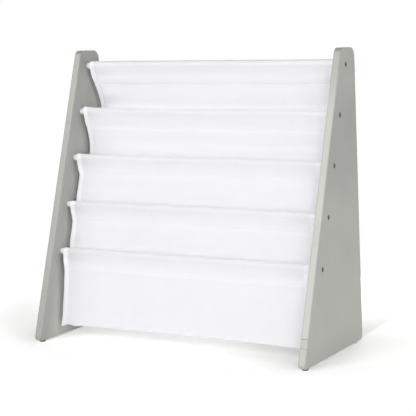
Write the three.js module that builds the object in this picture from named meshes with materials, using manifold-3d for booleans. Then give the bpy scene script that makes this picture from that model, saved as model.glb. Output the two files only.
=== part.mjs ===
// Sling bookshelf for a child's room: two side panels whose front edges lean back, five rods
// between them, and one strip of cloth that runs down over the rods in a zig-zag, so that it
// hangs in four book pockets.
// Millimetres. X runs across the width, +Y to the back and +Z up; z = 0 is the floor.
import * as THREE from 'three';
import { mergeVertices } from 'three/addons/utils/BufferGeometryUtils.js';
import Module from 'manifold-3d';

const wasm = await Module();
wasm.setup();

// Side panels
const overallWidth = 615;
const panelThickness = 15;
const panelHeight = 600;
const baseDepth = 300.4;        // along the bottom, before its corners are rounded
const topDepth = 70.5;
const topSetback = 186;         // how far the front edge leans back in the panel's height
const frontFootRadius = 10;
const backFootRadius = 11;
const frontTopRadius = 14;
const backTopRadius = 19;
const edgeEase = 2.5;           // rounding of the long edges

// Rods
const rodDiameter = 13;
const rodWall = 1.2;
const rodSetback = 35;          // rod centre behind the panel's front edge, measured level
const topRodDrop = 33;          // top rod centre below the panel's top edge
const plugLength = 24;

// Screws that hold the rods, each sunk in a recess of the panel's outer face
const screwDiameter = 6;
const screwLength = 29;         // below the head
const screwHeadDiameter = 10;
const screwHeadHeight = 2.8;
const screwHeadSink = 0.7;      // top of the head below the panel's face
const screwEdge = 0.6;          // chamfer of the head and of the tip
const socketWidth = 4;          // hexagon, across its flats
const socketDepth = 1.9;

// Glides, each with a pin pushed up into the panel's bottom edge
const glideDiameter = 13;
const glideHeight = 3;
const glideEdge = 1;
const glidePinDiameter = 2.4;
const glidePinLength = 12;
const frontGlideInset = 20.5;    // glide centre from the corner of the panel's outline
const backGlideInset = 32;

// Cloth
const clothThickness = 1.2;
const clothEndGap = 9;          // side hem to panel
const layerGap = 0.8;           // between two layers that hang from one seam
const seamDrop = 35;            // seam below the rod that it closes a sleeve round
const stitchBand = 3;           // height of the cloth that a seam sews together
const pocketDrop = 152;         // bottom of a pocket below the rod in front of it
const pocketClearance = 27;     // lowest fold above the panels' bottom edges
const endSag = 3;               // how much lower a pocket's bottom hangs at its two ends

const clearance = 0.3;          // between neighbours that fit or seat
const overrun = 1;              // how far a cutting tool runs past the face that it cuts

// Cloth on each rod, top rod first: where its seam hangs behind the rod, as shares of the rod pitch
const seamShares = [0.104, 0.064, 0.026, 0.008, -0.055];

// Fall of the sheet behind each pocket, top pocket first: how far it lies behind its own rod, as
// shares of the rod pitch, and its level. Level 0 is its own rod, 1 is the rod in front of the
// pocket and 2 is the pocket's bottom. The sheet turns forwards at its last point.
const fallShares = [
  [[0.35, 0.82], [0.357, 1.03], [0.335, 1.24], [0.247, 1.5], [0.14, 1.73], [0.06, 1.88]],
  [[0.15, 0.64], [0.155, 0.82], [0.13, 1.02], [0.05, 1.3], [-0.09, 1.6], [-0.21, 1.87]],
  [[-0.035, 0.6], [-0.115, 0.87], [-0.145, 1.2], [-0.225, 1.6], [-0.285, 1.88]],
  [[-0.045, 0.6], [-0.12, 0.88], [-0.165, 1.23], [-0.2, 1.5], [-0.22, 1.7], [-0.225, 1.84]],
];

// Lowest pocket: the bottom that runs forwards to its crease, and the front sheet that runs up from
// the crease. Shares of the rod pitch behind the bottom rod, and of the pocket's drop below it.
const lastBottomShares = [[-0.005, 0.925], [-0.08, 0.99], [-0.186, 1]];
const lastFrontShares = [[-0.18, 0.95], [-0.152, 0.807], [-0.096, 0.536], [-0.057, 0.31]];

// Facets
const roundSteps = 18;
const cornerSteps = 4;
const easeSteps = 2;
const archSteps = 9;
const fallSteps = 18;
const turnSteps = 8;
const widthSteps = 6;

const paintedBoard = { color: 0xbfc0ba, roughness: 0.55, metalness: 0 };
const coatedSteel = { color: 0xe4e4e2, roughness: 0.4, metalness: 0.1 };
const plugPlastic = { color: 0xc8c8c6, roughness: 0.6, metalness: 0 };
const bronzedSteel = { color: 0x554c3c, roughness: 0.4, metalness: 0.7 };
const glidePlastics = {
  front: { color: 0x3a3934, roughness: 0.7, metalness: 0 },
  back: { color: 0xd9d9d4, roughness: 0.6, metalness: 0 },
};
const whiteCloth = { color: 0xf0f1f5, roughness: 0.95, metalness: 0 };

// Sizes that follow from the ones above
const innerWidth = overallWidth - 2 * panelThickness;
const panelBottom = glideHeight;
const panelTop = panelBottom + panelHeight;
const clothWidth = innerWidth - 2 * clothEndGap;
const layerPitch = clothThickness + layerGap;
const recessDepth = screwHeadSink + screwHeadHeight + clearance;
const screwHoleRadius = screwDiameter / 2 + clearance;
const rodBoreRadius = rodDiameter / 2 - rodWall;

const rodCount = seamShares.length;
const topRodHeight = panelTop - topRodDrop;
const bottomRodHeight = panelBottom + pocketClearance + pocketDrop;
const rodPitch = (topRodHeight - bottomRodHeight) / (rodCount - 1);
const rods = seamShares.map((_, i) => sidePoint(rodSetback, topRodHeight - i * rodPitch));
const sides = [{ name: 'left', sign: -1 }, { name: 'right', sign: 1 }];

// A point of the side view, given how far it lies behind the panels' front edge
function sidePoint(behindEdge, height) {
  return new THREE.Vector2(behindEdge + topSetback * (height - panelBottom) / panelHeight, height);
}

// Turns a shape of the side view, extruded along its own Z, so that it runs across the width
const acrossWidth = new THREE.Matrix4().makeBasis(
  new THREE.Vector3(0, 1, 0),
  new THREE.Vector3(0, 0, 1),
  new THREE.Vector3(1, 0, 0),
);

// A closed geometry as a solid that can be cut
function toSolid(geometry) {
  const bare = geometry.clone();
  bare.deleteAttribute('normal');
  bare.deleteAttribute('uv');
  const merged = mergeVertices(bare);
  const corners = merged.index.array;
  const kept = [];
  for (let i = 0; i < corners.length; i += 3) {
    const [a, b, c] = corners.slice(i, i + 3);
    if (a !== b && b !== c && c !== a) kept.push(a, b, c);
  }
  return new wasm.Manifold(new wasm.Mesh({
    numProp: 3,
    vertProperties: merged.attributes.position.array,
    triVerts: new Uint32Array(kept),
  }));
}

function toGeometry(solid) {
  const { vertProperties, triVerts } = solid.getMesh();
  const geometry = new THREE.BufferGeometry();
  geometry.setAttribute('position', new THREE.BufferAttribute(vertProperties, 3));
  geometry.setIndex(new THREE.BufferAttribute(triVerts, 1));
  geometry.computeVertexNormals();
  return geometry;
}

function cut(geometry, tools) {
  const rest = tools.reduce((solid, tool) => solid.subtract(toSolid(tool)), toSolid(geometry));
  return toGeometry(rest);
}

// A solid turned about the X axis from a profile of [radius, distance outwards from the panel's face]
function turnedOutwards(profile, side) {
  const points = profile.map(([radius, out]) => new THREE.Vector2(radius, out));
  const geometry = new THREE.LatheGeometry(points, roundSteps);
  geometry.rotateZ(-side.sign * Math.PI / 2);
  geometry.translate(side.sign * overallWidth / 2, 0, 0);
  return geometry;
}

// A solid turned about the Z axis from a profile of [radius, height]
function turnedUpright(profile) {
  const points = profile.map(([radius, height]) => new THREE.Vector2(radius, height));
  return new THREE.LatheGeometry(points, roundSteps).rotateX(Math.PI / 2);
}

// A closed outline whose corners are arcs that touch both sides
function roundedOutline(corners) {
  const outline = new THREE.Shape();
  corners.forEach(({ point, radius }, i) => {
    const toLast = corners.at(i - 1).point.clone().sub(point).normalize();
    const toNext = corners[(i + 1) % corners.length].point.clone().sub(point).normalize();
    const halfAngle = Math.acos(toLast.dot(toNext)) / 2;
    const reach = radius / Math.tan(halfAngle);
    const inwards = toLast.clone().add(toNext).setLength(radius / Math.sin(halfAngle));
    const start = toLast.multiplyScalar(reach).sub(inwards);
    const end = toNext.multiplyScalar(reach).sub(inwards);
    const centre = inwards.add(point);
    outline.absarc(centre.x, centre.y, radius, start.angle(), end.angle(), false);
  });
  outline.closePath();
  return outline;
}

// Side panels
const panelOutline = roundedOutline([
  { point: sidePoint(0, panelBottom), radius: frontFootRadius },
  { point: new THREE.Vector2(baseDepth, panelBottom), radius: backFootRadius },
  { point: sidePoint(topDepth, panelTop), radius: backTopRadius },
  { point: sidePoint(0, panelTop), radius: frontTopRadius },
]);

const glideDepths = { front: frontGlideInset, back: baseDepth - backGlideInset };
const panelCentre = (innerWidth + panelThickness) / 2;

function screwHoleTool(side, rod) {
  const recessRadius = screwHeadDiameter / 2 + clearance;
  return turnedOutwards([
    [0, -panelThickness - overrun],
    [screwHoleRadius, -panelThickness - overrun],
    [screwHoleRadius, -recessDepth],
    [recessRadius, -recessDepth],
    [recessRadius, overrun],
    [0, overrun],
  ], side).translate(0, rod.x, rod.y);
}

function pinHoleTool(side, depth) {
  const radius = glidePinDiameter / 2 + clearance;
  return turnedUpright([
    [0, panelBottom - overrun],
    [radius, panelBottom - overrun],
    [radius, panelBottom + glidePinLength + clearance],
    [0, panelBottom + glidePinLength + clearance],
  ]).translate(side.sign * panelCentre, depth, 0);
}

function panelGeometry(side) {
  const blank = new THREE.ExtrudeGeometry(panelOutline, {
    depth: panelThickness - 2 * edgeEase,
    bevelThickness: edgeEase,
    bevelSize: edgeEase,
    bevelOffset: -edgeEase,
    bevelSegments: easeSteps,
    curveSegments: cornerSteps,
  });
  blank.applyMatrix4(acrossWidth);
  blank.translate(side.sign * panelCentre - panelThickness / 2 + edgeEase, 0, 0);
  const screwHoles = rods.map((rod) => screwHoleTool(side, rod));
  const pinHoles = Object.values(glideDepths).map((depth) => pinHoleTool(side, depth));
  return cut(blank, [...screwHoles, ...pinHoles]);
}

// Rods: tubes cut square, with a threaded plug in each end for the screw
function rodGeometry(rod) {
  const halfLength = innerWidth / 2 - clearance;
  const wall = [
    [rodBoreRadius, -halfLength],
    [rodDiameter / 2, -halfLength],
    [rodDiameter / 2, halfLength],
    [rodBoreRadius, halfLength],
    [rodBoreRadius, -halfLength],
  ];
  const points = wall.map(([radius, along]) => new THREE.Vector2(radius, along));
  return new THREE.LatheGeometry(points, roundSteps)
    .rotateZ(-Math.PI / 2)
    .translate(0, rod.x, rod.y);
}

function plugGeometry(side, rod) {
  const outerEnd = -panelThickness - clearance;
  const innerEnd = outerEnd - plugLength;
  const radius = rodBoreRadius - clearance;
  return turnedOutwards([
    [screwHoleRadius, innerEnd],
    [radius, innerEnd],
    [radius, outerEnd],
    [screwHoleRadius, outerEnd],
    [screwHoleRadius, innerEnd],
  ], side).translate(0, rod.x, rod.y);
}

function screwGeometry(side, rod) {
  const headTop = -screwHeadSink;
  const headSeat = headTop - screwHeadHeight;
  const tip = headSeat - screwLength;
  const body = turnedOutwards([
    [0, tip],
    [screwDiameter / 2 - screwEdge, tip],
    [screwDiameter / 2, tip + screwEdge],
    [screwDiameter / 2, headSeat],
    [screwHeadDiameter / 2, headSeat],
    [screwHeadDiameter / 2, headTop - screwEdge],
    [screwHeadDiameter / 2 - screwEdge, headTop],
    [0, headTop],
  ], side);
  const socketRadius = socketWidth / 2 / Math.cos(Math.PI / 6);
  const socketReach = socketDepth + overrun;
  const socketMiddle = overallWidth / 2 + headTop + overrun - socketReach / 2;
  const socket = new THREE.CylinderGeometry(socketRadius, socketRadius, socketReach, 6)
    .rotateZ(Math.PI / 2)
    .translate(side.sign * socketMiddle, 0, 0);
  return cut(body, [socket]).translate(0, rod.x, rod.y);
}

// Glides
function glideGeometry(side, depth) {
  return turnedUpright([
    [0, 0],
    [glideDiameter / 2 - glideEdge, 0],
    [glideDiameter / 2, glideEdge],
    [glideDiameter / 2, glideHeight - clearance],
    [glidePinDiameter / 2, glideHeight - clearance],
    [glidePinDiameter / 2, glideHeight + glidePinLength - glidePinDiameter],
    [0, glideHeight + glidePinLength],
  ]).translate(side.sign * panelCentre, depth, 0);
}

// Cloth: each seam hangs below its rod, where the two layers round the rod are sewn together
const seams = rods.map((rod, i) => new THREE.Vector2(rod.x + seamShares[i] * rodPitch, rod.y - seamDrop));

// Where the straight lines from a point touch a circle, the front one first
function touchPoints(point, centre, radius) {
  const away = point.clone().sub(centre);
  const spread = Math.acos(radius / away.length());
  const touch = (turn) => new THREE.Vector2(radius, 0)
    .rotateAround(new THREE.Vector2(), away.angle() + turn)
    .add(centre);
  return [touch(-spread), touch(spread)];
}

// Outline of a sleeve, over the rod and down on both sides to its lower end
function sleeveLoop(path, rod, radius, lowFront, lowBack) {
  const front = touchPoints(lowFront, rod, radius)[0];
  const back = touchPoints(lowBack, rod, radius)[1];
  path.moveTo(lowFront.x, lowFront.y);
  path.lineTo(lowBack.x, lowBack.y);
  path.absarc(rod.x, rod.y, radius, back.sub(rod).angle(), front.sub(rod).angle(), false);
  path.closePath();
  return path;
}

// Sleeve sewn round a rod, open at both ends
function sleeveGeometry(rod, seam) {
  const boreRadius = rodDiameter / 2 + clearance;
  const outerRadius = boreRadius + clothThickness;
  const lowFront = new THREE.Vector2(seam.x - clothThickness / 2, seam.y);
  const lowBack = new THREE.Vector2(seam.x + layerPitch + clothThickness / 2, seam.y);
  const boreTip = new THREE.Vector2(seam.x + layerPitch / 2, seam.y + stitchBand);
  const outline = sleeveLoop(new THREE.Shape(), rod, outerRadius, lowFront, lowBack);
  outline.holes.push(sleeveLoop(new THREE.Path(), rod, boreRadius, boreTip, boreTip));
  return new THREE.ExtrudeGeometry(outline, {
    depth: clothWidth,
    bevelEnabled: false,
    curveSegments: archSteps,
  }).applyMatrix4(acrossWidth).translate(-clothWidth / 2, 0, 0);
}

function fallPoint(tier, share, level) {
  const upper = Math.min(level, 1);
  const lower = Math.max(level - 1, 0);
  const height = rods[tier].y - upper * rodPitch - lower * pocketDrop;
  return new THREE.Vector2(rods[tier].x + share * rodPitch, height);
}

// Sheet that hangs behind each pocket, from just under its seam to where it turns forwards
const falls = fallShares.map((shares, tier) => {
  const start = seams[tier].clone().sub(new THREE.Vector2(0, clearance));
  const points = shares.map(([share, level]) => fallPoint(tier, share, level));
  return new THREE.SplineCurve([start, ...points]).getPoints(fallSteps);
});

// How far back a sheet hangs at a given height
function depthAt(line, height) {
  const next = line.findIndex((point) => point.y <= height);
  const upper = line[Math.max(next - 1, 0)];
  const lower = line[next];
  const share = next === 0 ? 0 : (upper.y - height) / (upper.y - lower.y);
  return THREE.MathUtils.lerp(upper.x, lower.x, share);
}

// Centre line of a pocket that hangs behind another one: down, round its bottom and up again, close
// behind the next pocket's sheet, to the seam below the rod in front
function pocketLine(tier) {
  const rear = falls[tier];
  const turn = rear.at(-1);
  const frontTop = seams[tier + 1].y - clearance;
  const frontTurn = depthAt(falls[tier + 1], turn.y) + layerPitch;
  const bottom = rods[tier + 1].y - pocketDrop;
  const round = new THREE.EllipseCurve(
    (turn.x + frontTurn) / 2, turn.y,
    (turn.x - frontTurn) / 2, turn.y - bottom,
    0, -Math.PI, true,
  );
  const front = [];
  for (let step = 1; step <= fallSteps; step += 1) {
    const height = THREE.MathUtils.lerp(turn.y, frontTop, step / fallSteps);
    front.push(new THREE.Vector2(depthAt(falls[tier + 1], height) + layerPitch, height));
  }
  return [...rear, ...round.getPoints(turnSteps).slice(1), ...front];
}

// Centre line of the lowest pocket, whose bottom runs forwards to a pressed crease
function lastPocketLine() {
  const rod = rods.at(-1);
  const place = ([share, drop]) => new THREE.Vector2(rod.x + share * rodPitch, rod.y - drop * pocketDrop);
  const rear = falls.at(-1);
  const bottom = new THREE.SplineCurve([...rear.slice(-2), ...lastBottomShares.map(place)]);
  const frontTop = seams.at(-1).clone().sub(new THREE.Vector2(0, clearance));
  const crease = place(lastBottomShares.at(-1));
  const front = new THREE.SplineCurve([crease, ...lastFrontShares.map(place), frontTop]);
  return [
    ...rear.slice(0, -2),
    ...bottom.getPoints(turnSteps),
    ...front.getPoints(fallSteps).slice(1),
  ];
}

// The centre line a station across the width, where a pocket's bottom sags towards its two ends
function saggedLine(line, tier, across) {
  const top = seams[tier + 1].y;
  const depth = top - (rods[tier + 1].y - pocketDrop);
  return line.map((point) => {
    const share = THREE.MathUtils.clamp((top - point.y) / depth, 0, 1);
    return new THREE.Vector2(point.x, point.y - endSag * (share * across) ** 2);
  });
}

// Both faces of a sheet round its centre line, as one closed ring; its two ends are cut level
function thickened(line) {
  const faces = line.map((point, i) => {
    const last = line[Math.max(i - 1, 0)];
    const next = line[Math.min(i + 1, line.length - 1)];
    const along = next.clone().sub(last).normalize();
    const isEnd = i === 0 || i === line.length - 1;
    const reach = clothThickness / 2;
    const offset = isEnd
      ? new THREE.Vector2(-reach / along.y, 0)
      : new THREE.Vector2(-along.y * reach, along.x * reach);
    return [point.clone().add(offset), point.clone().sub(offset)];
  });
  return [...faces.map(([outer]) => outer), ...faces.map(([, inner]) => inner).reverse()];
}

// Pocket: its section, swept from one side hem to the other
function pocketGeometry(tier) {
  const line = tier < falls.length - 1 ? pocketLine(tier) : lastPocketLine();
  const ringSize = 2 * line.length;
  const positions = [];
  const index = [];
  for (let step = 0; step <= widthSteps; step += 1) {
    const across = 2 * step / widthSteps - 1;
    const ring = thickened(saggedLine(line, tier, across));
    ring.forEach((point) => positions.push(across * clothWidth / 2, point.x, point.y));
  }
  for (let i = 0; i < widthSteps * ringSize; i += 1) {
    const ringStart = Math.floor(i / ringSize) * ringSize;
    const next = ringStart + (i + 1) % ringSize;
    index.push(i, next + ringSize, next, i, i + ringSize, next + ringSize);
  }
  const lastRing = widthSteps * ringSize;
  for (let i = 0; i < line.length - 1; i += 1) {
    const opposite = ringSize - 1 - i;
    index.push(i, opposite - 1, opposite, i, i + 1, opposite - 1);
    index.push(lastRing + i, lastRing + opposite - 1, lastRing + i + 1);
    index.push(lastRing + i, lastRing + opposite, lastRing + opposite - 1);
  }
  const geometry = new THREE.BufferGeometry();
  geometry.setAttribute('position', new THREE.Float32BufferAttribute(positions, 3));
  geometry.setIndex(index);
  geometry.computeVertexNormals();
  return geometry;
}

// Assembly
const bookshelf = new THREE.Group();
const frame = new THREE.Group();
const sling = new THREE.Group();
bookshelf.add(frame, sling);

function addPiece(group, name, geometry, finish) {
  const piece = new THREE.Mesh(geometry, new THREE.MeshStandardMaterial(finish));
  piece.name = name;
  group.add(piece);
}

sides.forEach((side) => {
  addPiece(frame, `${side.name}_side_panel`, panelGeometry(side), paintedBoard);
  Object.entries(glideDepths).forEach(([place, depth]) => {
    addPiece(frame, `glide_${side.name}_${place}`, glideGeometry(side, depth), glidePlastics[place]);
  });
});

rods.forEach((rod, i) => {
  const tier = i + 1;
  addPiece(frame, `rod_${tier}`, rodGeometry(rod), coatedSteel);
  sides.forEach((side) => {
    addPiece(frame, `rod_plug_${side.name}_${tier}`, plugGeometry(side, rod), plugPlastic);
    addPiece(frame, `screw_${side.name}_${tier}`, screwGeometry(side, rod), bronzedSteel);
  });
  addPiece(sling, `sling_sleeve_${tier}`, sleeveGeometry(rod, seams[i]), whiteCloth);
});

falls.forEach((_, tier) => {
  addPiece(sling, `sling_pocket_${tier + 1}`, pocketGeometry(tier), whiteCloth);
});

// The origin is on the floor under the middle of the panels' outline
const outlineDepths = panelOutline.getPoints(cornerSteps).map((point) => point.x);
bookshelf.position.y = -(Math.min(...outlineDepths) + Math.max(...outlineDepths)) / 2;
bookshelf.updateMatrixWorld(true);

export default bookshelf;
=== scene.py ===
from math import acos, atan2, cos, pi, radians, sin, tan

import bmesh
import bpy
import numpy as np
from mathutils import Matrix, Vector


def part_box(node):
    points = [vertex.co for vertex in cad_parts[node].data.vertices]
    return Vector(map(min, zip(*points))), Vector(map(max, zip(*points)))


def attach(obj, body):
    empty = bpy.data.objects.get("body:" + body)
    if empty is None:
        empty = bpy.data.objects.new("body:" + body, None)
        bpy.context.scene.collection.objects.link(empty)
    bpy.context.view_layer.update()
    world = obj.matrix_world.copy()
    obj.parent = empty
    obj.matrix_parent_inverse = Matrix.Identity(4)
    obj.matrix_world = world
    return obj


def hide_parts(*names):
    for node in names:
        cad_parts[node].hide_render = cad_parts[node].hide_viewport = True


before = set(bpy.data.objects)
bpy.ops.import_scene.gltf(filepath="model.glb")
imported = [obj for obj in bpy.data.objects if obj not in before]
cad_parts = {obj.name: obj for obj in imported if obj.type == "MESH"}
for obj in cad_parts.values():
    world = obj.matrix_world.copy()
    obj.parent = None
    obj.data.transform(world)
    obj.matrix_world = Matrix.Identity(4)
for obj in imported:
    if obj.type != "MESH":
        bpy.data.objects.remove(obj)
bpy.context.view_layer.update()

print("frame loaded,", len(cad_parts), "CAD nodes")

mm = 0.001
roundMiddle = 0.3        # how far in the middle of a small rounding lies, as a share of it
pinPoint = 0.01          # radius of a ring that stands for a point
mostNoise = (0.3, 0.7)   # most values of a noise texture lie between these
softLine = (1.6, 0.5)    # a drawn line fades over this, as shares of its half width


# Small helpers for meshes

def makePiece(name, points, faces, material):
    mesh = bpy.data.meshes.new(name)
    mesh.from_pydata([tuple(p) for p in np.asarray(points) * mm], [], faces)
    mesh.validate()
    mesh.polygons.foreach_set("use_smooth", [True] * len(mesh.polygons))
    mesh.materials.append(material)
    piece = bpy.data.objects.new(name, mesh)
    bpy.context.scene.collection.objects.link(piece)
    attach(piece, "root")
    return piece


def keepFlatsFlat(piece):
    # large flats keep their own direction, so that the small roundings don't smear over them
    level = piece.modifiers.new("flats", "WEIGHTED_NORMAL")
    level.weight = 100
    level.keep_sharp = True


def ringFaces(count, rings, closedUp=False):
    # faces between rings of equally many points; closed up, the last ring meets the first
    faces = []
    last = rings if closedUp else rings - 1
    for ring in range(last):
        low, high = ring * count, (ring + 1) % rings * count
        for i in range(count):
            j = (i + 1) % count
            faces.append((low + i, low + j, high + j, high + i))
    return faces


def cappedFaces(count, rings):
    last = (rings - 1) * count
    return [*ringFaces(count, rings), tuple(range(count))[::-1], tuple(range(last, last + count))]


def roundOf(middle, radii):
    # points round a middle, one for each radius
    turns = [2 * pi * i / len(radii) for i in range(len(radii))]
    return [(middle[0] + r * cos(t), middle[1] + r * sin(t)) for r, t in zip(radii, turns)]


def circle(middle, radius, steps):
    return roundOf(middle, [radius] * steps)


def quarterTurns(steps, first=0):
    return [pi / 2 * step / steps for step in range(first, steps + 1)]


# Small helpers for materials

def tinted(colour, factor):
    return (*[part * factor for part in colour], 1)


class Nodes:
    # puts nodes into a material or a world; what is fed to them is a socket or a constant
    def __init__(self, tree):
        self.tree = tree

    def node(self, kind, inputs=None, **settings):
        made = self.tree.nodes.new("ShaderNode" + kind)
        for key, value in settings.items():
            setattr(made, key, value)
        for key, value in (inputs or {}).items():
            self.feed(made.inputs[key], value)
        return made

    def feed(self, socket, value):
        if isinstance(value, bpy.types.NodeSocket):
            self.tree.links.new(value, socket)
        else:
            socket.default_value = value

    def math(self, operation, a, b=0.0, c=0.0):
        return self.node("Math", {0: a, 1: b, 2: c}, operation=operation).outputs[0]

    def times(self, *factors):
        product = factors[0]
        for factor in factors[1:]:
            product = self.math("MULTIPLY", product, factor)
        return product

    def place(self):
        return self.node("TexCoord").outputs["Object"]

    def parts(self, vector):
        return self.node("SeparateXYZ", {0: vector}).outputs

    def stretched(self, vector, scale):
        return self.node("Mapping", {"Vector": vector, "Scale": scale}).outputs[0]

    def noise(self, vector, scale, detail=2.0, rough=0.5):
        inputs = {"Vector": vector, "Scale": scale, "Detail": detail, "Roughness": rough}
        return self.node("TexNoise", inputs).outputs["Fac"]

    def blend(self, amount, first, second):
        # of two colours
        inputs = {"Factor": amount, 6: first, 7: second}
        return self.node("Mix", inputs, data_type="RGBA").outputs[2]

    def between(self, amount, first, second):
        # of two numbers
        inputs = {"Factor": amount, 2: first, 3: second}
        return self.node("Mix", inputs, data_type="FLOAT").outputs[0]

    def shaderBetween(self, amount, first, second):
        return self.node("MixShader", {0: amount, 1: first, 2: second}).outputs[0]

    def scaled(self, colour, factor):
        return self.node("VectorMath", {0: colour, "Scale": factor}, operation="SCALE").outputs[0]

    def spread(self, value, fromLow, fromHigh, toLow=0.0, toHigh=1.0, **settings):
        inputs = {"Value": value, 1: fromLow, 2: fromHigh, 3: toLow, 4: toHigh}
        return self.node("MapRange", inputs, **settings).outputs[0]

    def window(self, value, coming, going):
        # 1 inside and 0 outside, with a ramp over each of the two spans
        return self.times(self.spread(value, *coming), self.spread(value, *going))

    def bump(self, height, strength, distance, under=None):
        inputs = {"Height": height, "Strength": strength, "Distance": distance}
        if under is not None:
            inputs["Normal"] = under
        return self.node("Bump", inputs).outputs[0]

    def seenDirectly(self):
        path = self.node("LightPath").outputs
        seen = self.math("MAXIMUM", path["Is Camera Ray"], path["Is Glossy Ray"])
        return self.math("MAXIMUM", seen, path["Is Transmission Ray"])


class Finish(Nodes):
    # a material being put together: one Principled shader and the nodes that feed it
    def __init__(self, name, roughness, **sockets):
        self.material = bpy.data.materials.new(name)
        self.material.use_nodes = True
        super().__init__(self.material.node_tree)
        self.shader = self.tree.nodes["Principled BSDF"]
        self.roughness = roughness
        self.shader.inputs["Roughness"].default_value = roughness
        for socket, value in sockets.items():
            self.shader.inputs[socket.replace("_", " ")].default_value = value

    def done(self, colour, normal, grain=None, swing=(0, 0), span=mostNoise):
        # the grain swings the roughness down and up
        self.feed(self.shader.inputs["Base Color"], colour)
        self.feed(self.shader.inputs["Normal"], normal)
        if grain is not None:
            low, high = self.roughness + swing[0], self.roughness + swing[1]
            self.feed(self.shader.inputs["Roughness"], self.spread(grain, *span, low, high))
        return self.material


# The side view that everything hangs on, read from the frame

def middleOf(node):
    low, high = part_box(node)
    return (low + high) / 2 / mm


rodPlaces = [tuple(middleOf(f"rod_{i}"))[1:] for i in range(1, 6)]
lastRod = len(rodPlaces) - 1
rodPitch = rodPlaces[0][1] - rodPlaces[1][1]
lean = (rodPlaces[0][0] - rodPlaces[1][0]) / rodPitch


# Camera

camera = {
    "place": (1.28827, -2.37708, 0.62135),
    "turned": 27.924,       # degrees to the left of straight on
    "tilted": 7.212,        # degrees down
    "rolled": -0.916,
    "lens": 114.855,
    "sensor": 36,
    "farthest": 50,         # metres that it sees
}


def makeCamera():
    turned, tilted, rolled = (radians(camera[k]) for k in ("turned", "tilted", "rolled"))
    ahead = Vector((-sin(turned) * cos(tilted), cos(turned) * cos(tilted), -sin(tilted)))
    right = Vector((cos(turned), sin(turned), 0))
    up = right.cross(ahead)
    rolledRight = cos(rolled) * right + sin(rolled) * up
    rolledUp = -sin(rolled) * right + cos(rolled) * up
    data = bpy.data.cameras.new("camera")
    data.lens = camera["lens"]
    data.sensor_width = camera["sensor"]
    data.clip_end = camera["farthest"]
    made = bpy.data.objects.new("camera", data)
    turn = Matrix((rolledRight, rolledUp, -ahead)).transposed().to_4x4()
    made.matrix_world = Matrix.Translation(camera["place"]) @ turn
    bpy.context.scene.collection.objects.link(made)
    bpy.context.scene.camera = made


makeCamera()
print("camera set")


# Studio: floor, world and lamps

studio = {
    "sky": 0.0001,                   # next to no even light from all round
    "floorHalf": 12,                 # metres from its middle to each side
    "floorTint": (1, 1, 0.985),      # as the camera sees it
    "bounceTint": (1, 1, 0.99),      # as the object sees it
    "bounce": 0.88,                  # how much of its light the floor gives back to the object
    "floorGlow": 0.21,               # white that is added, so that only shadows stay grey
    "paintedContactShadow": 0.12,                 # painted shadow: how dark the floor gets where something stands close to it
    "contactReach": 0.12,
    "paintedGapLight": 0.35,                # painted light under the boards' feet
    "gapReach": 0.01,
    "closeSamples": 12,
    # painted light and shade added to the floor between the boards, from left to right
    "paintedUnderLight": (0.09, -0.19),
    "underAcross": (0.05, 0.28),     # x over which it changes from the one to the other
    "underSides": (0.296, 0.292),    # it fades out at the boards and in front of the shelf
    "underFront": (-0.17, -0.1),
    "shadowMiddle": (-0.013, 0.3),   # round this place on the floor the shadow is kept
    "shadowHalf": (0.54, 0.5),       # as far as this, then it fades to plain white
    "shadowFade": 1.15,
    "lamps": [
        # name, place, aimed at, width, height, watts, beam in degrees
        ("high", (-0.75, -3.1, 1.5), (0.0, 0.0, 0.3), 1.9, 1.5, 73.1, 180),
        ("camera", (1.5, -2.9, 1.0), (0.0, 0.0, 0.3), 1.5, 1.2, 29.2, 180),
        ("low right", (2.0, -2.2, 0.4), (0.0, 0.0, 0.3), 1.0, 0.7, 16.1, 180),
        ("low left", (-2.0, -2.6, 0.7), (0.0, 0.0, 0.3), 1.0, 1.0, 8.2, 180),
        ("right", (2.6, -0.9, 0.8), (0.1, 0.0, 0.3), 1.0, 1.4, 5.9, 180),
        ("above", (0.4, -0.3, 2.6), (0.0, 0.0, 0.2), 1.6, 1.3, 11.8, 180),
        ("back", (0.0, 1.8, 1.2), (0.0, 0.0, 0.4), 1.8, 1.2, 6.4, 180),
        ("behind", (0.0, 1.5, 2.2), (0.0, 1.5, 0.0), 1.4, 0.8, 23.3, 75),
    ],
}


def makeWorld():
    world = bpy.data.worlds.new("studio")
    bpy.context.scene.world = world
    world.use_nodes = True
    sky = Nodes(world.node_tree)
    soft = sky.tree.nodes["Background"]
    soft.inputs["Color"].default_value = (1, 1, 1, 1)
    soft.inputs["Strength"].default_value = studio["sky"]
    plain = sky.node("Background", {"Color": (1, 1, 1, 1), "Strength": 1})
    both = sky.shaderBetween(sky.seenDirectly(), soft.outputs[0], plain.outputs[0])
    sky.feed(sky.tree.nodes["World Output"].inputs["Surface"], both)


def makeLamps():
    for name, place, aim, width, height, watts, beam in studio["lamps"]:
        data = bpy.data.lights.new(name, "AREA")
        data.shape = "RECTANGLE"
        data.size, data.size_y = width, height
        data.energy = watts
        data.spread = radians(beam)
        lamp = bpy.data.objects.new(name, data)
        lamp.visible_camera = False
        away = Vector(place) - Vector(aim)
        turn = away.to_track_quat("Z", "Y").to_matrix().to_4x4()
        lamp.matrix_world = Matrix.Translation(place) @ turn
        bpy.context.scene.collection.objects.link(lamp)


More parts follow.
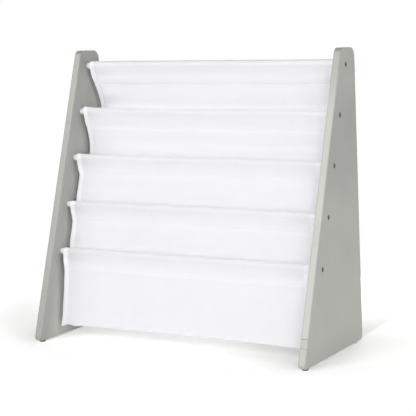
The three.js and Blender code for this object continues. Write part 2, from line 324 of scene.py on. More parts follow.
def floorFinish():
    material = bpy.data.materials.new("floor paper")
    material.use_nodes = True
    paper = Nodes(material.node_tree)
    paper.tree.nodes.remove(paper.tree.nodes["Principled BSDF"])
    where = paper.place()
    spot = paper.parts(where)

    def openness(reach):
        settings = {"samples": studio["closeSamples"]}
        return paper.node("AmbientOcclusion", {"Distance": reach}, **settings).outputs["AO"]

    # painted shadow where something stands close above or beside, and painted light in the gaps under
    # the feet
    paintedShadow = paper.spread(openness(studio["contactReach"]), 0, 1, 1 - studio["paintedContactShadow"], 1)
    lift = paper.spread(openness(studio["gapReach"]), 0, 1, studio["paintedGapLight"], 0)
    # painted light and shade between the boards: lighter on the left, darker on the right
    under = paper.times(
        paper.spread(spot["X"], *studio["underAcross"], *studio["paintedUnderLight"]),
        paper.spread(paper.math("ABSOLUTE", spot["X"]), *studio["underSides"]),
        paper.spread(spot["Y"], *studio["underFront"]),
    )
    added = paper.math("ADD", paper.math("ADD", under, lift), studio["floorGlow"])
    lit = paper.node("BsdfDiffuse", {"Color": paper.scaled(studio["floorTint"], paintedShadow)})
    glowColour = paper.scaled(studio["floorTint"], paper.times(paintedShadow, added))
    glow = paper.node("Emission", {"Color": glowColour})
    near = paper.node("AddShader", {0: lit.outputs[0], 1: glow.outputs[0]})

    # plain white further off
    (x, y), (halfX, halfY) = studio["shadowMiddle"], studio["shadowHalf"]
    ellipse = {"Location": (-x / halfX, -y / halfY, 0), "Scale": (1 / halfX, 1 / halfY, 1)}
    moved = paper.node("Mapping", {"Vector": where, **ellipse})
    away = paper.node("VectorMath", {0: moved.outputs[0]}, operation="LENGTH").outputs["Value"]
    faded = paper.spread(away, 1, studio["shadowFade"], interpolation_type="SMOOTHSTEP")
    plain = paper.node("Emission", {"Color": (1, 1, 1, 1)})
    shown = paper.shaderBetween(faded, near.outputs[0], plain.outputs[0])
    bounce = paper.node("BsdfDiffuse", {"Color": tinted(studio["bounceTint"], studio["bounce"])})
    whole = paper.shaderBetween(paper.seenDirectly(), bounce.outputs[0], shown)
    paper.feed(paper.tree.nodes["Material Output"].inputs["Surface"], whole)
    return material


def makeFloor():
    half = studio["floorHalf"]
    mesh = bpy.data.meshes.new("floor")
    corners = [(-half, -half, 0), (half, -half, 0), (half, half, 0), (-half, half, 0)]
    mesh.from_pydata(corners, [], [(0, 1, 2, 3)])
    mesh.materials.append(floorFinish())
    floor = bpy.data.objects.new("floor", mesh)
    bpy.context.scene.collection.objects.link(floor)


bpy.context.scene.view_settings.view_transform = "Standard"
makeWorld()
makeLamps()
makeFloor()
print("studio set")


# Side boards

board = {
    "thick": 15,
    "halfWidth": 307.5,     # from the middle of the shelf to the outer faces
    "height": 600,
    "foot": 3,              # glides hold the boards this far off the floor
    "baseDepth": 300.4,
    "topDepth": 70.5,
    "rodSetback": 35,
    "radii": {"frontFoot": 10, "backFoot": 11, "backTop": 19, "frontTop": 14},
    "ease": 2.5,            # rounding along the edges
    "recessRadius": 5.3,
    "recessDepth": 3.8,
    "boreRadius": 3.3,
    "rimEase": 0.35,        # softened rim of each screw recess
    "seatEase": 0.2,        # and of its bottom
    "cornerSteps": 20,
    "easeSteps": 6,
    "holeSteps": 40,
    "paint": (0.533, 0.542, 0.497),
    "roughness": 0.46,
    "roughSwing": (-0.05, 0.06),
    # textures here and below: how many to a metre, how detailed and how rough; and of the bumps
    # that they make, strength and height
    "clouds": (9, 3),
    "cloudTones": (0.955, 1.045),
    "roller": (4, 4),
    "rollerStretch": (60, 60, 7),
    "rollerSpan": (0.35, 0.75),
    "rollerShare": 0.35,
    "rollerHigh": 0.6,      # against the peel
    "peel": (900, 3, 0.55),
    "peelBump": (0.12, 0.0004),
    "rubs": (70, 3),        # worn places along the eased edges
    "rubSpans": (0.3, 0.75, 0.35, 0.9),
    "rubTone": 0.86,
    # painted light and shade: how light each side of the boards is against the paint; the front from
    # its foot to its top
    "tones": {
        "left": {"outer": 1.06, "inner": 0.715, "front": (0.55, 0.69), "crown": 1.03},
        "right": {"outer": 1.04, "inner": 0.75, "front": (0.855, 0.82), "crown": 0.76},
    },
    # painted shade on faces that look up
    "topPaintedShade": 0.44,
    "footTone": 0.88,       # of the right board's front below its upper hairline
    "bandPaintedShade": 0.87,       # painted shade of the outer faces in a wide band above the middle
    "headPaintedShade": 0.95,       # painted shade of the outer faces near the top
    "hollowPaintedLight": 1.42,     # painted light on the inner faces beside the lower pockets
    "behindPaintedShadow": 0.64,     # painted shadow of the cloth on the inner faces behind its edge
    # over which heights each of them comes in or goes out, in metres
    "frontHeights": (0, 0.5),
    "crownHeights": (0.49, 0.57),
    "footHeights": (0.058, 0.062),
    "bandHeights": ((0.28, 0.36), (0.54, 0.47)),
    "headHeights": (0.535, 0.57),
    "hollowHeights": (0.5, 0.22),
    "behindHeights": (0.03, 0.045),
    # and how far behind the line of the rods, or behind the cloth's edge
    "hollowDepths": ((-0.015, 0.03), (0.1, 0.05)),
    "behindDepths": ((0, 0.003), (0.034, 0.022)),
    "behindStarts": (-2, 5, 8, 11, 14.5),   # mm behind the edge where the painted shadow starts, top tier first
    "curveSpan": (0.6, 0.4),   # of the curve that holds that edge: upwards, front to back
    "curveEnd": 0.003,      # this far above the edge's last point, nothing is behind it
    # over which directions of the surface a face counts as looking that way
    "looksSideways": (-0.6, 0.6),
    "looksOut": (0.3, 0.8),
    "looksForwards": (-0.4, -0.9),
    "looksUp": (0.2, 0.65),
    "looksAslant": ((0.04, 0.2), (0.985, 0.8)),
    # hairlines near the foot of the right board's front: height, slope across it, half width
    "hairlines": [(0.0602, 0, 0.0007), (0.088, 0.15, 0.0004)],
    "hairlineColour": (0.16, 0.16, 0.15, 1),
    "hairlineShare": 0.8,
    "hairlineDeep": 3.0,
}
outerFace = board["halfWidth"]
innerFace = outerFace - board["thick"]


def frontEdge(z):
    return rodPlaces[0][0] + (z - rodPlaces[0][1]) * lean - board["rodSetback"]


def boardCorners():
    low, high = board["foot"], board["foot"] + board["height"]
    front = frontEdge(low)
    return [
        ((front, low), board["radii"]["frontFoot"]),
        ((front + board["baseDepth"], low), board["radii"]["backFoot"]),
        ((frontEdge(high) + board["topDepth"], high), board["radii"]["backTop"]),
        ((frontEdge(high), high), board["radii"]["frontTop"]),
    ]


def boardOutline(inset):
    corners = boardCorners()
    ring = []
    for i, (point, radius) in enumerate(corners):
        here = Vector(point)
        toLast = (Vector(corners[i - 1][0]) - here).normalized()
        toNext = (Vector(corners[(i + 1) % len(corners)][0]) - here).normalized()
        half = acos(toLast.dot(toNext)) / 2
        inwards = (toLast + toNext).normalized() * (radius / sin(half))
        centre = here + inwards
        startOff = toLast * (radius / tan(half)) - inwards
        endOff = toNext * (radius / tan(half)) - inwards
        start = atan2(startOff.y, startOff.x)
        sweep = (atan2(endOff.y, endOff.x) - start) % (2 * pi)
        reach = radius - inset
        for step in range(board["cornerSteps"] + 1):
            angle = start + sweep * step / board["cornerSteps"]
            ring.append((centre.x + reach * cos(angle), centre.y + reach * sin(angle)))
    return ring


def makeBoard(side, sign, material):
    ease = board["ease"]
    # from the inner face, where the inset is largest, to the outer one
    turns = quarterTurns(board["easeSteps"])
    near = [(innerFace + ease * (1 - sin(t)), ease * (1 - cos(t))) for t in turns[::-1]]
    far = [(innerFace + outerFace - x, inset) for x, inset in near[::-1]]

    shape = bmesh.new()

    def addRing(x, ring):
        return [shape.verts.new((sign * x, y, z)) for y, z in ring]

    def joinRings(rings):
        for first, second in zip(rings, rings[1:]):
            for i in range(len(first)):
                j = (i + 1) % len(first)
                shape.faces.new((first[i], first[j], second[j], second[i]))

    outline = [addRing(x, boardOutline(inset)) for x, inset in near + far]
    joinRings(outline)
    innerLoops, outerLoops = [outline[0]], [outline[-1]]
    rim, recess, bore = board["rimEase"], board["recessRadius"], board["boreRadius"]
    seat, seatEase = outerFace - board["recessDepth"], board["seatEase"]
    hole = [
        (recess + rim, outerFace), (recess + rim * roundMiddle, outerFace - rim * roundMiddle),
        (recess, outerFace - rim), (recess, seat + seatEase), (recess - seatEase, seat),
        (bore, seat), (bore, innerFace),
    ]
    for place in rodPlaces:
        loops = [addRing(x, circle(place, radius, board["holeSteps"])) for radius, x in hole]
        joinRings(loops)
        outerLoops.append(loops[0])
        innerLoops.append(loops[-1])
    for loops in (innerLoops, outerLoops):
        edges = []
        for loop in loops:
            for i, vert in enumerate(loop):
                after = loop[(i + 1) % len(loop)]
                edges.append(shape.edges.get((vert, after)) or shape.edges.new((vert, after)))
        bmesh.ops.triangle_fill(shape, edges=edges, use_beauty=True)
    bmesh.ops.recalc_face_normals(shape, faces=shape.faces)
    points = [tuple(v.co) for v in shape.verts]
    shape.verts.index_update()
    faces = [tuple(v.index for v in f.verts) for f in shape.faces]
    shape.free()
    piece = makePiece(f"{side}_board", points, faces, material)
    keepFlatsFlat(piece)
    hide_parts(f"{side}_side_panel")


def clothEdge():
    # (z, y) of the cloth's edge in the side view, from the floor upwards
    line = []
    panel = next(stretch["points"] for stretch in route if stretch["kind"] == "panel")
    for tier in reversed(range(len(rodPlaces))):
        rodY, rodZ = rodPlaces[tier]
        start = board["behindStarts"][tier]
        if tier == lastRod:
            low, sheet = sling["foot"], panel[::-1]
        else:
            low, sheet = rodPlaces[tier + 1][1] + sling["overRod"], falls[tier]
        heights = np.linspace(low, seams[tier][1], 5 if tier == lastRod else 4)
        line += [(z, y + start) for z, y in zip(heights, depthAt(sheet, heights))]
        line += [(rodZ + up, rodY + back + start) for up, back in sling["sleeveEdge"]]
    return line


def behindCloth(paint, spot):
    # how far a point lies behind the edge of the hanging cloth, seen from the side
    line = [(z * mm, y * mm) for z, y in clothEdge()]
    tall, deep = board["curveSpan"]
    line.append((line[-1][0] + board["curveEnd"], deep / 2))
    curve = paint.node("FloatCurve", {"Value": paint.spread(spot["Z"], 0, tall)})
    points = curve.mapping.curves[0].points
    points[0].location, points[1].location = (0, line[0][1] / deep + 0.5), (1, 1)
    for z, y in line:
        points.new(z / tall, y / deep + 0.5)
    for point in points:
        point.handle_type = "VECTOR"
    curve.mapping.update()
    edge = paint.spread(curve.outputs[0], 0, 1, -deep / 2, deep / 2)
    return paint.math("SUBTRACT", spot["Y"], edge)


def paintedSideShading(paint, side, sign, spot, facing):
    # painted light and shade of the two large faces: by side, by height, behind the rods and behind the
    # cloth's edge
    high, tones = spot["Z"], board["tones"][side]

    def looking(span, way):
        return [way * value for value in board[span]]

    outside = paint.spread(facing["X"], *looking("looksOut", sign))
    inside = paint.spread(facing["X"], *looking("looksOut", -sign))
    atRods = (rodPlaces[0][0] - lean * rodPlaces[0][1]) * mm
    behindRods = paint.math("SUBTRACT", spot["Y"], paint.math("MULTIPLY_ADD", high, lean, atRods))
    behindEdge = behindCloth(paint, spot)
    shares = {
        "bandPaintedShade": (outside, paint.window(high, *board["bandHeights"])),
        "headPaintedShade": (outside, paint.spread(high, *board["headHeights"])),
        "hollowPaintedLight": (
            inside, paint.spread(high, *board["hollowHeights"]),
            paint.window(behindRods, *board["hollowDepths"]),
        ),
        "behindPaintedShadow": (
            inside, paint.spread(high, *board["behindHeights"]),
            paint.window(behindEdge, *board["behindDepths"]),
        ),
    }
    # painted shade on the inner faces, painted light on the outer ones
    paintedShade = paint.spread(facing["X"], *looking("looksSideways", sign), tones["inner"], tones["outer"])
    for name, factors in shares.items():
        paintedShade = paint.times(paintedShade, paint.spread(paint.times(*factors), 0, 1, 1, board[name]))
    return paintedShade


def paintFinish(side, sign, hairlines=False):
    paint = Finish(f"{side} board paint", board["roughness"])
    where = paint.place()
    spot = paint.parts(where)
    facing = paint.parts(paint.node("NewGeometry").outputs["Normal"])
    high, tones = spot["Z"], board["tones"][side]
    onFront = paint.spread(facing["Y"], *board["looksForwards"])
    onTop = paint.spread(facing["Z"], *board["looksUp"])
    onEase = paint.window(paint.math("ABSOLUTE", facing["X"]), *board["looksAslant"])
    # painted light and shade of the front edges, by height
    frontTone = paint.times(
        paint.spread(high, *board["frontHeights"], *tones["front"]),
        paint.spread(high, *board["crownHeights"], 1, tones["crown"]),
    )
    if hairlines:
        foot = paint.spread(high, *board["footHeights"], board["footTone"], 1)
        frontTone = paint.times(frontTone, foot)
    paintedShade = paint.between(onFront, paintedSideShading(paint, side, sign, spot, facing), frontTone)
    # painted shade on the tops
    paintedShade = paint.between(onTop, paintedShade, board["topPaintedShade"])

    clouds = paint.noise(where, *board["clouds"])
    roller = paint.noise(paint.stretched(where, board["rollerStretch"]), *board["roller"])
    peel = paint.noise(where, *board["peel"])
    darker, lighter = (tinted(board["paint"], factor) for factor in board["cloudTones"])
    colour = paint.blend(paint.spread(clouds, *mostNoise), darker, lighter)
    rolled = paint.times(paint.spread(roller, *board["rollerSpan"]), board["rollerShare"])
    colour = paint.blend(rolled, colour, lighter)
    rubbed = paint.spread(paint.noise(where, *board["rubs"]), *board["rubSpans"])
    rubColour = tinted(board["paint"], board["rubTone"])
    colour = paint.blend(paint.times(onEase, rubbed), colour, rubColour)
    height = paint.math("MULTIPLY_ADD", roller, board["rollerHigh"], peel)
    if hairlines:
        lines = []
        for at, slope, halfWidth in board["hairlines"]:
            tilted = paint.math("MULTIPLY_ADD", spot["X"], slope, high)
            lines.append(lineAt(paint, tilted, at, halfWidth))
        line = paint.times(paint.math("MAXIMUM", *lines), onFront)
        share = paint.times(line, board["hairlineShare"])
        colour = paint.blend(share, colour, board["hairlineColour"])
        height = paint.math("MULTIPLY_ADD", line, -board["hairlineDeep"], height)
    bumps = paint.bump(height, *board["peelBump"])
    return paint.done(paint.scaled(colour, paintedShade), bumps, peel, board["roughSwing"])


def lineAt(finish, value, middle, halfWidth):
    # 1 on a line of this half width, with a soft edge
    off = finish.math("ABSOLUTE", finish.math("SUBTRACT", value, middle))
    return finish.spread(off, *(halfWidth * share for share in softLine))


# Rods

rod = {
    "radius": 6.5,
    "bore": 5.3,
    "halfLength": 292.2,
    "lip": 0.4,             # rounded end of the tube
    "steps": 48,
    "coat": (0.72, 0.72, 0.71),
    "cloudTones": (0.95, 1.04),
    "clouds": (1, 3),
    "cloudStretch": (14, 50, 50),
    "grain": (1500, 3, 0.6),
    "grainBump": (0.1, 0.0002),
    "gloss": 0.15,
    "roughness": 0.38,
    "roughSwing": (-0.06, 0.08),
}


def rodFinish():
    coat = Finish("powder coat", rod["roughness"], Coat_Weight=rod["gloss"])
    where = coat.place()
    grain = coat.noise(where, *rod["grain"])
    clouds = coat.noise(coat.stretched(where, rod["cloudStretch"]), *rod["clouds"])
    colour = coat.blend(clouds, *(tinted(rod["coat"], factor) for factor in rod["cloudTones"]))
    return coat.done(colour, coat.bump(grain, *rod["grainBump"]), grain, rod["roughSwing"])


def makeRods():
    material = rodFinish()
    half, lip, outer, bore = rod["halfLength"], rod["lip"], rod["radius"], rod["bore"]
    inLip = lip * roundMiddle
    end = [
        (bore, half - lip / 2), (bore + lip / 2, half), (outer - lip, half),
        (outer - inLip, half - inLip), (outer, half - lip),
    ]
    profile = [(radius, -x) for radius, x in end] + end[::-1]
    faces = ringFaces(rod["steps"], len(profile), closedUp=True)
    for i, place in enumerate(rodPlaces, 1):
        points = []
        for radius, x in profile:
            points += [(x, y, z) for y, z in circle(place, radius, rod["steps"])]
        piece = makePiece(f"rod_tube_{i}", points, faces, material)
        keepFlatsFlat(piece)
        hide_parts(f"rod_{i}")


makeRods()
print("rods made")


# Screws: round head with a hexagon socket, sunk in the board

screw = {
    "headRadius": 5.0,
    "headHigh": 2.8,
    "sunk": 0.7,
    "crown": 0.35,          # how much the top of the head is domed
    "dome": (0.78, 0.35),   # a point on the dome, as shares of the radius and the crown
    "edge": 0.6,
    "edgeSteps": 5,
    "headEase": 0.15,       # softened lower edge of the head
    "shank": 3.0,
    "neck": (0.25, 0.3),    # how much wider the shank gets under the head, and over what length
    "length": 29,
    "socket": 4.0,          # across the flats
    "socketRim": ((0.35, 0), (0.08, 0.08), (0, 0.3)),   # how far its rim opens, and how deep down
    "socketDeep": 1.9,
    "socketPoint": 0.5,     # depth of the cone at its bottom
    "steps": 48,
    "metal": (0.15, 0.117, 0.066),
    "tones": (0.62, 1, 1.9),   # of the patches, the plain metal and the worn marks
    "patches": (260, 3),
    "patchSpan": (0.35, 0.7),
    "brushed": (700, 4, 0.6),
    "brushedBump": (0.15, 0.0002),
    "wornSpans": (0.55, 0.8, 0, 0.6),
    "metallic": 0.85,
    "roughness": 0.4,
    "roughSwing": (-0.1, 0.12),
    "roughSpan": (0.3, 0.75),
}


def screwFinish():
    metal = Finish("bronzed steel", screw["roughness"], Metallic=screw["metallic"])
    where = metal.place()
    brushed = metal.noise(where, *screw["brushed"])
    patches = metal.spread(metal.noise(where, *screw["patches"]), *screw["patchSpan"])
    worn = metal.spread(brushed, *screw["wornSpans"])
    dark, plain, light = (tinted(screw["metal"], factor) for factor in screw["tones"])
    colour = metal.blend(worn, metal.blend(patches, dark, plain), light)
    bumps = metal.bump(brushed, *screw["brushedBump"])
    return metal.done(colour, bumps, brushed, screw["roughSwing"], screw["roughSpan"])


def screwRings(place):
    # (x, ring of points) from the tip of the shank to the bottom of the socket
    steps = screw["steps"]
    top = outerFace - screw["sunk"]
    seat = top - screw["headHigh"]
    tip = seat - screw["length"]
    head, crown, edge, ease = (screw[k] for k in ("headRadius", "crown", "edge", "headEase"))
    shank, (neckWide, neckLong) = screw["shank"], screw["neck"]
    domeOut, domeDown = screw["dome"]
    profile = [
        (pinPoint, tip), (shank - edge, tip), (shank, tip + edge),
        (shank, seat - neckLong), (shank + neckWide, seat),
        (head - ease, seat), (head, seat + ease), (head, top - crown - edge),
    ]
    for t in quarterTurns(screw["edgeSteps"], 1):
        profile.append((head - edge * (1 - cos(t)), top - crown - edge * (1 - sin(t))))
    profile.append((head * domeOut, top - crown * domeDown))
    rings = [(x, circle(place, radius, steps)) for radius, x in profile]

    flats = [screw["socket"] / 2 / cos(2 * pi * i / steps % (pi / 3) - pi / 6) for i in range(steps)]
    for grown, deep in (*screw["socketRim"], (0, screw["socketDeep"])):
        rings.append((top - deep, roundOf(place, [flat + grown for flat in flats])))
    bottom = top - screw["socketDeep"] - screw["socketPoint"]
    return rings + [(bottom, circle(place, pinPoint, steps))]


def makeScrew(side, sign, number, place, material):
    rings = screwRings(place)
    points = [(sign * x, y, z) for x, ring in rings for y, z in ring]
    faces = cappedFaces(screw["steps"], len(rings))
    if sign < 0:
        faces = [face[::-1] for face in faces]
    piece = makePiece(f"screw_head_{side}_{number}", points, faces, material)
    keepFlatsFlat(piece)
    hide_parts(f"screw_{side}_{number}")


def makeScrews():
    material = screwFinish()
    for side, sign in (("left", -1), ("right", 1)):
        for number, place in enumerate(rodPlaces, 1):
            makeScrew(side, sign, number, place, material)


makeScrews()
print("screws made")


# Glides under the boards and plugs in the rods

glide = {
    "radius": 6.5,
    "high": 2.7,
    "edge": 1.1,
    "edgeSteps": 6,
    "flat": 1.4,            # its flat ends this many edge roundings inside the outline
    "lip": ((0, 0.4), (0.15, 0.1), (0.4, 0)),   # points of the upper rounding: inwards, downwards
    "pin": 1.2,
    "pinHigh": 12.3,
    "fillet": 0.3,          # between pad and pin
    "steps": 48,
    "roughness": 0.6,
    "plastics": {"front": (0.05, 0.048, 0.042), "back": (0.69, 0.69, 0.66)},
    "slots": {"front": "glide", "back": "pale_glide"},
}
plug = {
    "plastic": (0.6, 0.6, 0.59),
    "roughness": 0.55,
}
moulding = {
    "grain": (1300, 3, 0.6),
    "grainBump": (0.18, 0.0003),
    "clouds": (120, 3),
    "cloudTones": (0.85, 1.2),
    "roughSwing": (-0.07, 0.08),
}


def plasticFinish(name, colour, roughness):
    plastic = Finish(name, roughness)
    where = plastic.place()
    grain = plastic.noise(where, *moulding["grain"])
    clouds = plastic.noise(where, *moulding["clouds"])
    tones = (tinted(colour, factor) for factor in moulding["cloudTones"])
    bumps = plastic.bump(grain, *moulding["grainBump"])
    return plastic.done(plastic.blend(clouds, *tones), bumps, grain, moulding["roughSwing"])


def glideProfile():
    # (radius, height) from the middle of the underside to the tip of the pin
    outer, edge, tall = glide["radius"], glide["edge"], glide["high"]
    profile = [(pinPoint, 0), (outer - edge * glide["flat"], 0)]
    for t in quarterTurns(glide["edgeSteps"], 1):
        profile.append((outer - edge * (1 - sin(t)), edge * (1 - cos(t))))
    profile += [(outer - inwards, tall - down) for inwards, down in glide["lip"]]
    profile += [(glide["pin"] + glide["fillet"], tall), (glide["pin"], tall + glide["fillet"])]
    return profile + [(glide["pin"], glide["pinHigh"]), (pinPoint, tall + glide["pinHigh"])]


def makeGlides():
    profile, steps = glideProfile(), glide["steps"]
    faces = cappedFaces(steps, len(profile))
    finishes = {}
    for end, colour in glide["plastics"].items():
        finishes[end] = plasticFinish(f"{end} glide plastic", colour, glide["roughness"])
    for side in ("left", "right"):
        for end, finish in finishes.items():
            middle = middleOf(f"glide_{side}_{end}")
            points = []
            for radius, z in profile:
                points += [(x, y, z) for x, y in circle(middle, radius, steps)]
            piece = makePiece(f"glide_pad_{side}_{end}", points, faces, finish)
            keepFlatsFlat(piece)
            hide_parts(f"glide_{side}_{end}")


def finishPlugs():
    # the plugs keep their CAD shape
    material = plasticFinish("plug plastic", plug["plastic"], plug["roughness"])
    for name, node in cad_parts.items():
        if name.startswith("rod_plug"):
            node.data.materials.clear()
            node.data.materials.append(material)


makeGlides()
finishPlugs()
print("glides and plugs made")


# Sling: one strip of cloth, over every rod and down into every pocket

sling = {
    "thick": 0.8,
    "width": 567,
    "layerPitch": 2.0,      # between two layers that hang from one seam
    "seamDrop": 35,
    "seamStart": 0.3,       # a sheet starts this far below its seam
    "pocketDrop": 152,
    "foot": 46,             # height of the lowest pocket's edge over the floor
    "sleeveGap": 0.3,       # between cloth and rod
    "sleeveBulge": 1.2,     # how far a sleeve stands out between rod and seam
    "bulgePower": 0.8,      # under 1, it stands out more near the seam
    "sleeveLift": (2.6, 0.3, 0, 0, 0),   # how loose each sleeve is over its rod, top rod first
    "overRod": 7.5,         # where the sheet behind a sleeve comes into view, over the rod
    "sleeveEdge": [(0, -7), (6.5, -3)],   # points on a sleeve's front from its rod: up, back
    "hiddenBelow": 4,       # below the next rod by this much, a sheet can't be seen
    "tail": 8,              # turned-in end below the first and the last seam
    "hemWide": 12.5,
    "hemStep": (1.0, 0.4),  # how far its inner edge's step reaches outwards and inwards
    "hemExtra": 0.5,        # thickness that the turned hem adds
    "hemStitch": 11.0,      # the line of thread along it, from the edge
    "hemSink": (0.16, 0.7),   # how deep and how wide that line sinks in
    "edgeThin": 0.65,       # the outermost edge is this much of the thickness
    "edgeEase": 0.9,
    "rimOut": 0.35,         # rounding of the outermost edge
    "endSag": 3,            # how much lower the pockets hang at their ends
    "seamGrooves": (0.1, 0.2, 0.4, 0.45, 0.45),   # how deep the stitches pull the cloth in
    "seamSpan": 2.4,
    "seamTouch": 0.05,      # between the two layers at a seam
    # how many points each line has, and how far apart the rows of faces are along it
    "points": {"side": 60, "arch": 50, "fall": 90, "turn": 40, "bottom": 60, "panel": 120, "tail": 12},
    "rowGaps": {
        "up": 3.6, "over": 2.4, "down": 3.2, "fall": 4.6, "hidden": 13,
        "bottom": 4, "front": 13, "panel": 4.6, "tail": 2.6,
    },
    "seamGaps": (0.9, 0.42),     # at a seam, and how fast they widen away from it
    "creaseGaps": (0.7, 0.3),
    "softening": {"line": 1.1, "bottom": 5.0, "blend": 6.0, "gaps": 2.5},
    "creaseSharp": (14, 0.6),    # near the bottom crease the line stays sharp
    "endColumns": (0.35, 1.1, 2.6, 5.0, 7.6, 9.8, 11.0, 11.6, 12.3, 13.0, 13.9, 15.6, 18.0),
    "innerStart": 21.5,
    "innerColumns": 96,
    # slow waves in the hanging sheets: millimetres across and down, and share of the ripple
    "ripple": 1.5,
    "longWave": (120, 170, 0.6),
    "shortWave": (58, 95, 0.4),
    "waveSlant": 260,
    "waveFull": 60,         # how far below a seam they have their full size
    "seamWave": {"long": 46, "reach": 16, "high": 0.35},
    # small puckers that start at the stitches of a sleeve
    "pucker": {"high": 0.55, "long": 7.5, "slant": 22, "change": 60, "least": 0.25,
               "patchLong": 48, "patchSpan": (-0.15, 0.6), "below": (3, 14), "power": 0.8},
    # slanting folds at the ends of a sleeve
    "dragFold": {"high": 0.55, "across": 0.62, "down": 0.78, "pitch": 15, "reach": 34},
    # a long shallow fold that runs in from each end of a sleeve
    "longFold": {"high": 0.45, "start": 9, "slope": 0.07, "slopeSwing": 0.02, "half": 2.6,
                 "comes": (15, 60), "goes": (120, 220), "below": (4, 9)},
    "overRodSmooth": 8,     # nothing sinks in above this, because the rod lies behind
    # how much each sleeve's left end rises over its rod
    "endLift": {"high": (0, 3, 1.6, 0, 0), "reach": 26, "heights": (-20, 6)},
    # slight waves of the hem
    "ruffle": {"high": 0.7, "long": 26, "onSleeve": 0.35, "below": (3, 22), "reach": 9,
               "sideHigh": 0.55, "sideLong": 34},
    # the lowest pocket's left corner flares out in a small lip: rise, place, half width
    "lip": [(-3.6, -285, 7), (1.6, -268, 7), (-1.6, -252, 9)],
    "lipWave": (0.5, 38),
    "lipReach": 16,
    "lipOut": (2.2, 10),
    "seed": 11,
}
# places in the side view as shares of the rod pitch and the pocket's drop
seamShares = [0.104, 0.064, 0.026, 0.008, -0.055]
fallShares = [
    [[0.35, 0.82], [0.357, 1.03], [0.335, 1.24], [0.247, 1.5], [0.14, 1.73], [0.06, 1.88]],
    [[0.15, 0.64], [0.155, 0.82], [0.13, 1.02], [0.05, 1.3], [-0.09, 1.6], [-0.21, 1.87]],
    [[-0.035, 0.6], [-0.115, 0.87], [-0.145, 1.2], [-0.225, 1.6], [-0.285, 1.88]],
    [[-0.045, 0.6], [-0.12, 0.88], [-0.165, 1.23], [-0.2, 1.5], [-0.22, 1.7], [-0.225, 1.84]],
]
lastBottomShares = [[-0.005, 0.925], [-0.08, 0.99], [-0.186, 1]]
lastFrontShares = [[-0.18, 0.95], [-0.152, 0.807], [-0.096, 0.536], [-0.057, 0.31]]
routeStep = 0.5   # millimetres from point to point of the dense line

seams = [(y + share * rodPitch, z - sling["seamDrop"]) for (y, z), share in zip(rodPlaces, seamShares)]


def curveThrough(points, steps):
    # the same smooth curve that the CAD draws its sheets with
    points = np.array(points, float)
    last = len(points) - 1
    made = []
    for along in np.linspace(0, last, steps + 1):
        i = min(int(along), last - 1)
        t = along - i
        p0, p1, p2, p3 = points[max(i - 1, 0)], points[i], points[i + 1], points[min(i + 2, last)]
        v0, v1 = (p2 - p0) / 2, (p3 - p1) / 2
        curved = (2 * (p1 - p2) + v0 + v1) * t ** 3 + (3 * (p2 - p1) - 2 * v0 - v1) * t ** 2
        made.append(curved + v0 * t + p1)
    return np.array(made)


def belowSeam(tier):
    return seams[tier][0], seams[tier][1] - sling["seamStart"]


def fallPoint(tier, share, level):
    y, z = rodPlaces[tier]
    down = min(level, 1) * rodPitch + max(level - 1, 0) * sling["pocketDrop"]
    return y + share * rodPitch, z - down


def fallOf(tier):
    points = [belowSeam(tier), *(fallPoint(tier, *shares) for shares in fallShares[tier])]
    return curveThrough(points, sling["points"]["fall"])


def depthAt(line, z):
    return np.interp(z, line[::-1, 1], line[::-1, 0])


falls = [fallOf(tier) for tier in range(lastRod)]


# The route of the strip in the side view. Each stretch says what it is, its points, the seams
# whose waves it has at its start and its end, its rod and how far apart its rows of faces may be.
route = []


def addStretch(kind, points, families, rodNumber=-1, hidden=False):
    gap = sling["rowGaps"]["hidden" if hidden else kind]
    route.append({
        "kind": kind, "points": np.array(points, float), "families": families,
        "rod": rodNumber, "gap": gap,
    })


def addSleeve(tier, frontFirst):
    lift = sling["sleeveLift"][tier] / 2
    middle = np.array((rodPlaces[tier][0], rodPlaces[tier][1] + lift))
    radius = rod["radius"] + sling["sleeveGap"] + sling["thick"] / 2 + lift
    seamY, seamZ = seams[tier]
    ends = {"front": (seamY, seamZ), "back": (seamY + sling["layerPitch"], seamZ)}
    turns, sides = {}, {}
    for place, way in (("front", -1), ("back", 1)):
        end = np.array(ends[place])
        away = end - middle
        turns[place] = atan2(away[1], away[0]) + way * acos(radius / np.hypot(*away))
        out = np.array((cos(turns[place]), sin(turns[place])))
        t = np.linspace(0, 1, sling["points"]["side"])[:, None]
        straight = end * (1 - t) + (middle + radius * out) * t
        sides[place] = straight + out * sling["sleeveBulge"] * 4 * t ** sling["bulgePower"] * (1 - t)
    angles = np.linspace(turns["back"], turns["front"] + 2 * pi, sling["points"]["arch"])
    arch = middle + radius * np.stack([np.cos(angles), np.sin(angles)], 1)
    first, last = ("front", "back") if frontFirst else ("back", "front")
    addStretch("up", sides[first], (tier, tier), tier)
    addStretch("over", arch[::-1] if frontFirst else arch, (tier, tier), tier)
    addStretch("down", sides[last][::-1], (tier, tier), tier)


def addPocket(tier):
    # a sheet that falls, a round bottom, and the front layer close behind the next fall
    fall = falls[tier]
    turnY, turnZ = fall[-1]
    shown = fall[:, 1] > rodPlaces[tier + 1][1] - sling["hiddenBelow"]
    bottom = rodPlaces[tier + 1][1] - sling["pocketDrop"]
    addStretch("fall", fall[shown], (tier, tier))
    addStretch("fall", fall[~shown], (tier, tier), hidden=True)
    frontY = depthAt(falls[tier + 1], turnZ) + sling["layerPitch"]
    angles = np.linspace(0, -pi, sling["points"]["turn"])
    middle, half = (turnY + frontY) / 2, (turnY - frontY) / 2
    turn = [middle + half * np.cos(angles), turnZ + (turnZ - bottom) * np.sin(angles)]
    addStretch("bottom", np.stack(turn, 1), (tier, tier + 1))
    heights = np.linspace(turnZ, belowSeam(tier + 1)[1], sling["points"]["fall"])
    front = np.stack([depthAt(falls[tier + 1], heights) + sling["layerPitch"], heights], 1)
    addStretch("front", front, (tier + 1, tier + 1))


